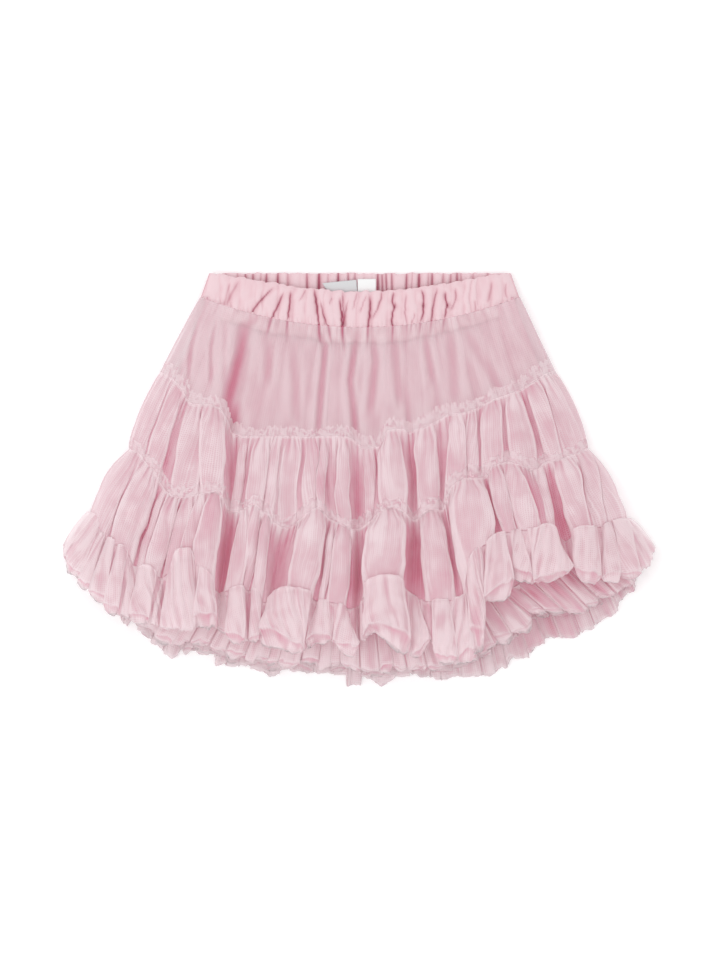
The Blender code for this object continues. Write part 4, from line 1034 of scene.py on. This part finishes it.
def make_casings():
    """The casing's front and back."""
    t = np.linspace(-1, 1, 701)
    xa, ya = line(WAIST_FRONT, t)
    xb, yb = line(CASING_SEAM, t)
    ya = ya + 0.5 * wander(xa, 4.5, 1) + 0.3 * wander(xa, 2.2, 2) + 1.1 * pleats(xa, 8, 3, 0.7)
    yb = yb - 0.9 * pleats(xb, 3.8, 4, 0.7)

    def front_relief(x, y, troughs):
        """Puckers at the stitched foot, broad puffs and small wrinkles over the creases."""
        share = np.clip((ya - y) / (ya - yb), 0, 1)
        pucker = pleats(x + 0 * y, 3.6, 5) * bell((1 - share) * 24 / 4.5)
        puff = pleats(x + 1.5 * crinkle(x, y, 6, 8, 6), 8.5, 7, 0.7)
        return troughs + 0.9 * pucker + 0.9 * puff + 0.35 * crinkle(x, y, 3.5, 5, 8)

    def back_relief(x, y, troughs):
        """Shallow puffs and small wrinkles over the creases."""
        return 0.5 * pleats(x + 0 * y, 7.5, 14, 0.7) + 0.2 * crinkle(x, y, 3.5, 5, 13) + troughs

    middle = 3.6 + 5.0 * np.sqrt(np.clip(1 - t**8, 0, 1))
    make_casing("casing_front", t, 30, (xa, ya), (xb, yb), middle, front_creases, front_relief, 0.92)
    xa, ya = line(WAIST_BACK, t)
    ya = ya + 0.5 * wander(xa, 4.5, 11) + 0.35 * wander(xa, 2.2, 12)
    make_casing("casing_back", t, 22, (xa, ya), (xb, yb), 2.45 + 0.3 * t**8, back_creases, back_relief, 0.91)


def make_allowances():
    """The turned-down seam allowance, front and back."""
    x = np.linspace(-110, 110, 701)
    t = x / CASING_SEAM[0]
    v = np.linspace(0, 1, 9)[:, None]
    top = line(CASING_SEAM, t)[1] + 1.0
    edge = np.interp(x, *ALLOWANCE_EDGE.T) + 0.6 * wander(x, 5, 21)
    y = mix(top, edge, v)
    z = 9.4 + 0.9 * v + 0.5 * pleats(x, 6.5, 22) * (1 - 0.4 * v) + 0.25 * crinkle(x, y, 3, 4, 23)
    z = (z + yoke_relief(x, y)) * np.sqrt(np.clip(1 - t**8, 0.2, 1))
    # Painted shade in its low places and painted highlight on its high ones, tone that differs at random, the
    # painted shade of the creases from above and a painted shadow line along its lower edge.
    tone = height_shade_tone(z, 8, 3.0, 0.85) + 0.2 * crinkle(x, y, 4.5, 3.5, 26) + 0.26 * pleats(x + 0 * y, 6, 27)
    tone = np.clip(tone - 0.8 * crease_shade_below(x, y) - 0.4 * ease(0.8, 1, v), 0, 1)
    cloth("allowance_front", grid(x, y, z), tone)
    low = 1.9 + 0.2 * pleats(x, 6.5, 24)
    cloth("allowance_back", grid(x, mix(top, top - 11, v), low + 0 * v), tone, flip=True)


def make_label(name, corners, z, curl):
    """A label as a thin closed slip: a patch between four corners, straight each way, at z plus curl ·
    sin(πt) across and a wave of 0.3 mm along, given 0.3 mm of thickness."""
    a, b, c, d = np.array(corners, float)
    s, t = np.linspace(0, 1, 25)[:, None, None], np.linspace(0, 1, 33)[None, :, None]
    flat = (a * (1 - t) + b * t) * (1 - s) + (d * (1 - t) + c * t) * s
    height = z + curl * np.sin(math.pi * t[..., 0]) + 0.3 * np.sin(math.pi * s[..., 0] * 1.5)
    cloth(name, grid(flat[..., 0], flat[..., 1], height), 0.9, thickness=0.3)


# ---------------------------------------------------------------- properties
def colour(name, description, value):
    """A colour on the panel."""
    return FloatVectorProperty(
        name=name, description=description, default=value, size=3, min=0, max=1, subtype="COLOR")


def length(name, description, value):
    """A length on the panel, in metres."""
    return FloatProperty(
        name=name, description=description, default=value, min=0, subtype="DISTANCE", unit="LENGTH")


class SkirtColours(bpy.types.PropertyGroup):
    """Colours of the cloths, with the painted shade, painted highlights and painted glow among them."""

    # Painted shade: the deepest tulle, in its hollows and on the low cloth between lobes, where layers also
    # lie thicker.
    tulle_fold_shade: colour("Tulle, deepest", "Tulle at the bottom of its folds", (0.62, 0.185, 0.275))
    tulle_mid: colour("Tulle, middle", "Tulle in several layers", (0.725, 0.425, 0.50))
    tulle_pale: colour("Tulle, pale", "Tulle where it lies in one layer", (0.77, 0.60, 0.64))
    # Painted highlight: the palest tulle, along the outlines of lobes seen from above and on crinkle tops,
    # partly the denser look of tulle seen edge-on.
    tulle_edge_highlight: colour("Tulle, edges", "Tulle seen along its threads, at edges", (0.89, 0.785, 0.81))
    # Painted shade: the casing in its creases.
    poplin_crease_shade: colour("Casing, deep", "The casing in its creases", (0.42, 0.10, 0.16))
    poplin_pale: colour("Casing, pale", "Smooth cloth of the casing", (0.765, 0.54, 0.58))
    # Painted highlight: the tops of the casing's puffs.
    poplin_puff_highlight: colour("Casing, light", "The tops of the casing's puffs", (0.785, 0.595, 0.63))
    # Painted shade: the underskirt in its low places and beside the yoke's big fold.
    lining_fold_shade: colour("Lining, deep", "The underskirt in its folds", (0.56, 0.29, 0.355))
    lining_pale: colour("Lining, pale", "The underskirt", (0.78, 0.565, 0.61))
    # A painted glow: the cloths' emission, pink light added into their shade.
    glow: colour("Light through", "Light that comes through the layers of cloth", (1.0, 0.32, 0.42))
    label_grey: colour("Folded label", "The folded label", (0.66, 0.66, 0.67))
    label_white: colour("Size label", "The small label", (0.88, 0.88, 0.88))
    floor: colour("Floor", "The surface it lies on", (0.96, 0.96, 0.96))


class SkirtSizes(bpy.types.PropertyGroup):
    """Sizes of what the cloth does between its seams."""

    folds_2: length("Second tier's folds", "How high the widest folds of the second tier stand", 0.0045)
    folds_3: length("Third tier's folds", "How high the widest folds of the third tier stand", 0.0065)
    lobes: length("Outer ruffle's lobes", "How high the lobes of the outer ruffle stand", 0.0065)
    rows: length("Inner ruffle's lobes", "How high the lobes of the inner ruffle stand", 0.006)
    heading: length("Headings", "How tall the crinkled headings of the tiers are", 0.008)
    casing: length("Casing", "Half the thickness of the casing round its elastic", 0.0022)
    net: length("Net", "Size of the holes of the tulle", 0.0015)


class SkirtLight(bpy.types.PropertyGroup):
    """Light and camera."""

    key_power: FloatProperty(
        name="Key light", description="Power of the soft light at the left", default=6.0, min=0, unit="POWER")
    floor_glow: FloatProperty(
        name="Floor's glow", description="Light of the floor's own, which keeps it white in shade",
        default=0.12, min=0)
    fill: FloatProperty(name="Fill", description="Strength of the white surroundings", default=1.0, min=0)
    camera_lens: FloatProperty(
        name="Lens", description="Focal length of the camera", default=150.0, min=20, unit="CAMERA")
    frame_height: length("Frame height", "Height that the camera takes in, at the skirt", 0.672)


def colours():
    """The panel's colours."""
    return bpy.context.scene.skirt_colours


def size(name):
    """One of the panel's sizes, in millimetres."""
    return getattr(bpy.context.scene.skirt_sizes, name) / MM


def material_of(name):
    """The skirt's materials by name, each made the first time it is asked for."""
    found = bpy.data.materials.get("skirt_" + name)
    if found:
        return found
    c = colours()
    woven = dict(sheen=0.2, cell=0.0005, net=0.1, bump=0.2)
    label = dict(woven, rough=0.7, streak=0.02, glow=0)
    netted = dict(rough=0.85, sheen=0.6, cell=size("net") * MM, net=0.8, bump=0.5, stops=(
        (0.0, c.tulle_fold_shade), (0.42, c.tulle_mid), (0.8, c.tulle_pale), (1.0, c.tulle_edge_highlight)))
    # glow is the strength of each cloth's painted glow.
    finishes = {
        "poplin": dict(woven, rough=0.75, streak=0.02, glow=0.02, stops=(
            (0.0, c.poplin_crease_shade), (0.9, c.poplin_pale), (1.0, c.poplin_puff_highlight))),
        "lining": dict(woven, rough=0.6, streak=0.03, glow=0.02, stops=(
            (0.0, c.lining_fold_shade), (0.85, c.lining_pale))),
        "yoke_tulle": dict(netted, net=0.4, alpha=0.5, streak=0.03, glow=0.03),
        "tier_tulle": dict(netted, alpha=0.72, streak=0.08, glow=0.05),
        "heading_tulle": dict(netted, alpha=0.54, streak=0.1, glow=0.03),
        "inner_tulle": dict(netted, alpha=0.85, streak=0.08, glow=0.05),
        "ruffle_tulle": dict(netted, alpha=0.64, streak=0.06, glow=0.05),
        "row_tulle": dict(netted, alpha=0.55, streak=0.05, glow=0.04),
        "label_grey": dict(label, stops=((0.0, c.label_grey), (1.0, c.label_grey))),
        "label_white": dict(label, stops=((0.0, c.label_white), (1.0, c.label_white))),
    }
    return cloth_material("skirt_" + name, **finishes[name])


# ---------------------------------------------------------------- operators
class SkirtOperator:
    """What the skirt's operators share."""

    bl_options = {"REGISTER", "UNDO"}


class OBJECT_OT_skirt_casing(SkirtOperator, bpy.types.Operator):
    """Makes the waist casing, front and back, and the seam allowance under it."""

    bl_idname = "object.skirt_casing"
    bl_label = "Casing"

    def execute(self, context):
        make_casings()
        make_allowances()
        return {"FINISHED"}


class OBJECT_OT_skirt_labels(SkirtOperator, bpy.types.Operator):
    """Makes the two blank labels inside the back of the waist."""

    bl_idname = "object.skirt_labels"
    bl_label = "Labels"

    def execute(self, context):
        make_label("label_fold", ((-26.6, 138.6), (-2.6, 141.0), (-1.6, 128.0), (-20.0, 128.0)), 6.3, 0.4)
        make_label("label_size", ((-1.6, 141.6), (11.2, 141.6), (11.2, 124.5), (-1.6, 124.5)), 6.0, 0.3)
        return {"FINISHED"}


class OBJECT_OT_skirt_lining(SkirtOperator, bpy.types.Operator):
    """Makes the smooth underskirt, front and back."""

    bl_idname = "object.skirt_lining"
    bl_label = "Lining"

    def execute(self, context):
        for name, lie, columns, rows, flip in (("lining_front", LINING_LIE, 281, 41, False),
                                               ("lining_back", LINING_BACK_LIE, 141, 21, True)):
            make_line_sheet(name, LINING_TOP, LINING_HEM, lie, columns, rows, flip)
        return {"FINISHED"}


class OBJECT_OT_skirt_outer(SkirtOperator, bpy.types.Operator):
    """Makes the outer skirt's yoke and tiers, front and back."""

    bl_idname = "object.skirt_outer"
    bl_label = "Outer skirt"

    def execute(self, context):
        make_tier(0, "yoke_front", 561, 46)
        make_tier(1, "tier_2_front", 901, 40)
        make_tier(2, "tier_3_front", 1101, 44)
        seams = (CASING_SEAM, BACK_SEAM_1, BACK_SEAM_2, BACK_SEAM_3)
        for i, (name, columns) in enumerate((("yoke_back", 281), ("tier_2_back", 381), ("tier_3_back", 421))):
            make_line_sheet(name, seams[i], seams[i + 1], BACK_LIE[i:i + 2], columns, 17, flip=True)
        return {"FINISHED"}


class OBJECT_OT_skirt_inner(SkirtOperator, bpy.types.Operator):
    """Makes the inner tulle skirt, front and back, with its crinkled seam."""

    bl_idname = "object.skirt_inner"
    bl_label = "Inner skirt"

    def execute(self, context):
        for name, lie, columns, rows, flip in (("inner_front", INNER_LIE, 541, 60, False),
                                               ("inner_back", INNER_BACK_LIE, 281, 31, True)):
            make_line_sheet(name, INNER_TOP, INNER_SEAM_3, lie, columns, rows, flip, INNER_SEAM)
        return {"FINISHED"}


class OBJECT_OT_skirt_ruffles(SkirtOperator, bpy.types.Operator):
    """Makes the doubled ruffles of the outer and the inner skirt, front and back."""

    bl_idname = "object.skirt_ruffles"
    bl_label = "Ruffles"

    def execute(self, context):
        make_front_ruffle(1500, dict(OUTER_RUFFLE_LOOK, height=size("lobes")), 200)
        for name, seam, hem, lie, columns, share, seed in (
                ("inner_ruffle_front", INNER_SEAM_3, INNER_HEM, ROW_LIE[0], 1001, 1, 300),
                ("inner_ruffle_back", INNER_SEAM_3, INNER_HEM * (0.99, 1.03), ROW_LIE[1], 801, 0.8, 320),
                ("ruffle_back", BACK_SEAM_3, BACK_HEM, ROW_LIE[2], 901, 0.6, 340)):
            look = dict(ROW_LOOKS[name], height=share * size("rows"))
            make_line_ruffle(name, seam, hem, lie, columns, look, seed)
        return {"FINISHED"}


class OBJECT_OT_skirt_stage(SkirtOperator, bpy.types.Operator):
    """Makes the floor, the soft light and the camera straight above."""

    bl_idname = "object.skirt_stage"
    bl_label = "Stage"

    def execute(self, context):
        scene = context.scene
        settings = scene.skirt_light
        mesh = bpy.data.meshes.new("floor")
        corners = ((-1, -1), (1, -1), (1, 1), (-1, 1))
        mesh.from_pydata([(x * FLOOR_HALF, y * FLOOR_HALF, FLOOR_Z) for x, y in corners], [], [(0, 1, 2, 3)])
        floor = bpy.data.objects.new("floor", mesh)
        scene.collection.objects.link(floor)
        paint = bpy.data.materials.new("floor_paint")
        paint.use_nodes = True
        shader = paint.node_tree.nodes["Principled BSDF"]
        for name, value in (("Base Color", (*scene.skirt_colours.floor, 1)), ("Roughness", 0.9),
                            ("Specular IOR Level", 0.0), ("Emission Color", (1, 1, 1, 1)),
                            ("Emission Strength", settings.floor_glow)):
            shader.inputs[name].default_value = value
        mesh.materials.append(paint)
        world = bpy.data.worlds.new("surroundings")
        world.use_nodes = True
        background = world.node_tree.nodes["Background"]
        background.inputs["Color"].default_value = (1, 1, 1, 1)
        background.inputs["Strength"].default_value = settings.fill
        scene.world = world
        light = bpy.data.lights.new("key", "AREA")
        light.energy = settings.key_power
        light.shape = "DISK"
        light.size = KEY_SIZE
        key = bpy.data.objects.new("key", light)
        key.location = KEY_PLACE
        key.rotation_euler = key.location.to_track_quat("Z", "Y").to_euler()
        scene.collection.objects.link(key)
        lens = bpy.data.cameras.new("camera")
        lens.sensor_width = SENSOR_WIDTH
        lens.lens = settings.camera_lens
        lens.clip_start, lens.clip_end = 0.1, 20
        camera = bpy.data.objects.new("camera", lens)
        distance = settings.frame_height * settings.camera_lens / lens.sensor_width
        camera.location = (0, CAMERA_Y, distance + CAMERA_LIFT)
        scene.collection.objects.link(camera)
        scene.camera = camera
        scene.view_settings.view_transform = "Standard"
        scene.cycles.transparent_max_bounces = CLEAR_LAYERS
        return {"FINISHED"}


class VIEW3D_PT_skirt(bpy.types.Panel):
    """The skirt's pieces, one button each, and its sizes, colours and light."""

    bl_label = "Tulle Skirt"
    bl_idname = "VIEW3D_PT_skirt"
    bl_space_type = "VIEW_3D"
    bl_region_type = "UI"
    bl_category = "Skirt"

    def draw(self, context):
        for operator in OPERATORS:
            self.layout.operator(operator.bl_idname)
        for group in (context.scene.skirt_sizes, context.scene.skirt_colours, context.scene.skirt_light):
            for name in group.__annotations__:
                self.layout.prop(group, name)


OPERATORS = (OBJECT_OT_skirt_casing, OBJECT_OT_skirt_labels, OBJECT_OT_skirt_lining, OBJECT_OT_skirt_inner,
             OBJECT_OT_skirt_outer, OBJECT_OT_skirt_ruffles, OBJECT_OT_skirt_stage)
CLASSES = (SkirtColours, SkirtSizes, SkirtLight, *OPERATORS, VIEW3D_PT_skirt)


def register():
    """Puts the groups, the operators and the panel into Blender."""
    for kind in CLASSES:
        bpy.utils.register_class(kind)
    bpy.types.Scene.skirt_colours = PointerProperty(type=SkirtColours)
    bpy.types.Scene.skirt_sizes = PointerProperty(type=SkirtSizes)
    bpy.types.Scene.skirt_light = PointerProperty(type=SkirtLight)


def unregister():
    """Takes them out again."""
    del bpy.types.Scene.skirt_light
    del bpy.types.Scene.skirt_sizes
    del bpy.types.Scene.skirt_colours
    for kind in reversed(CLASSES):
        bpy.utils.unregister_class(kind)


def main():
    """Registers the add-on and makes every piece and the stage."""
    register()
    bpy.ops.object.skirt_casing()
    bpy.ops.object.skirt_labels()
    bpy.ops.object.skirt_lining()
    bpy.ops.object.skirt_inner()
    bpy.ops.object.skirt_outer()
    bpy.ops.object.skirt_ruffles()
    bpy.ops.object.skirt_stage()


if __name__ == "__main__":
    main()
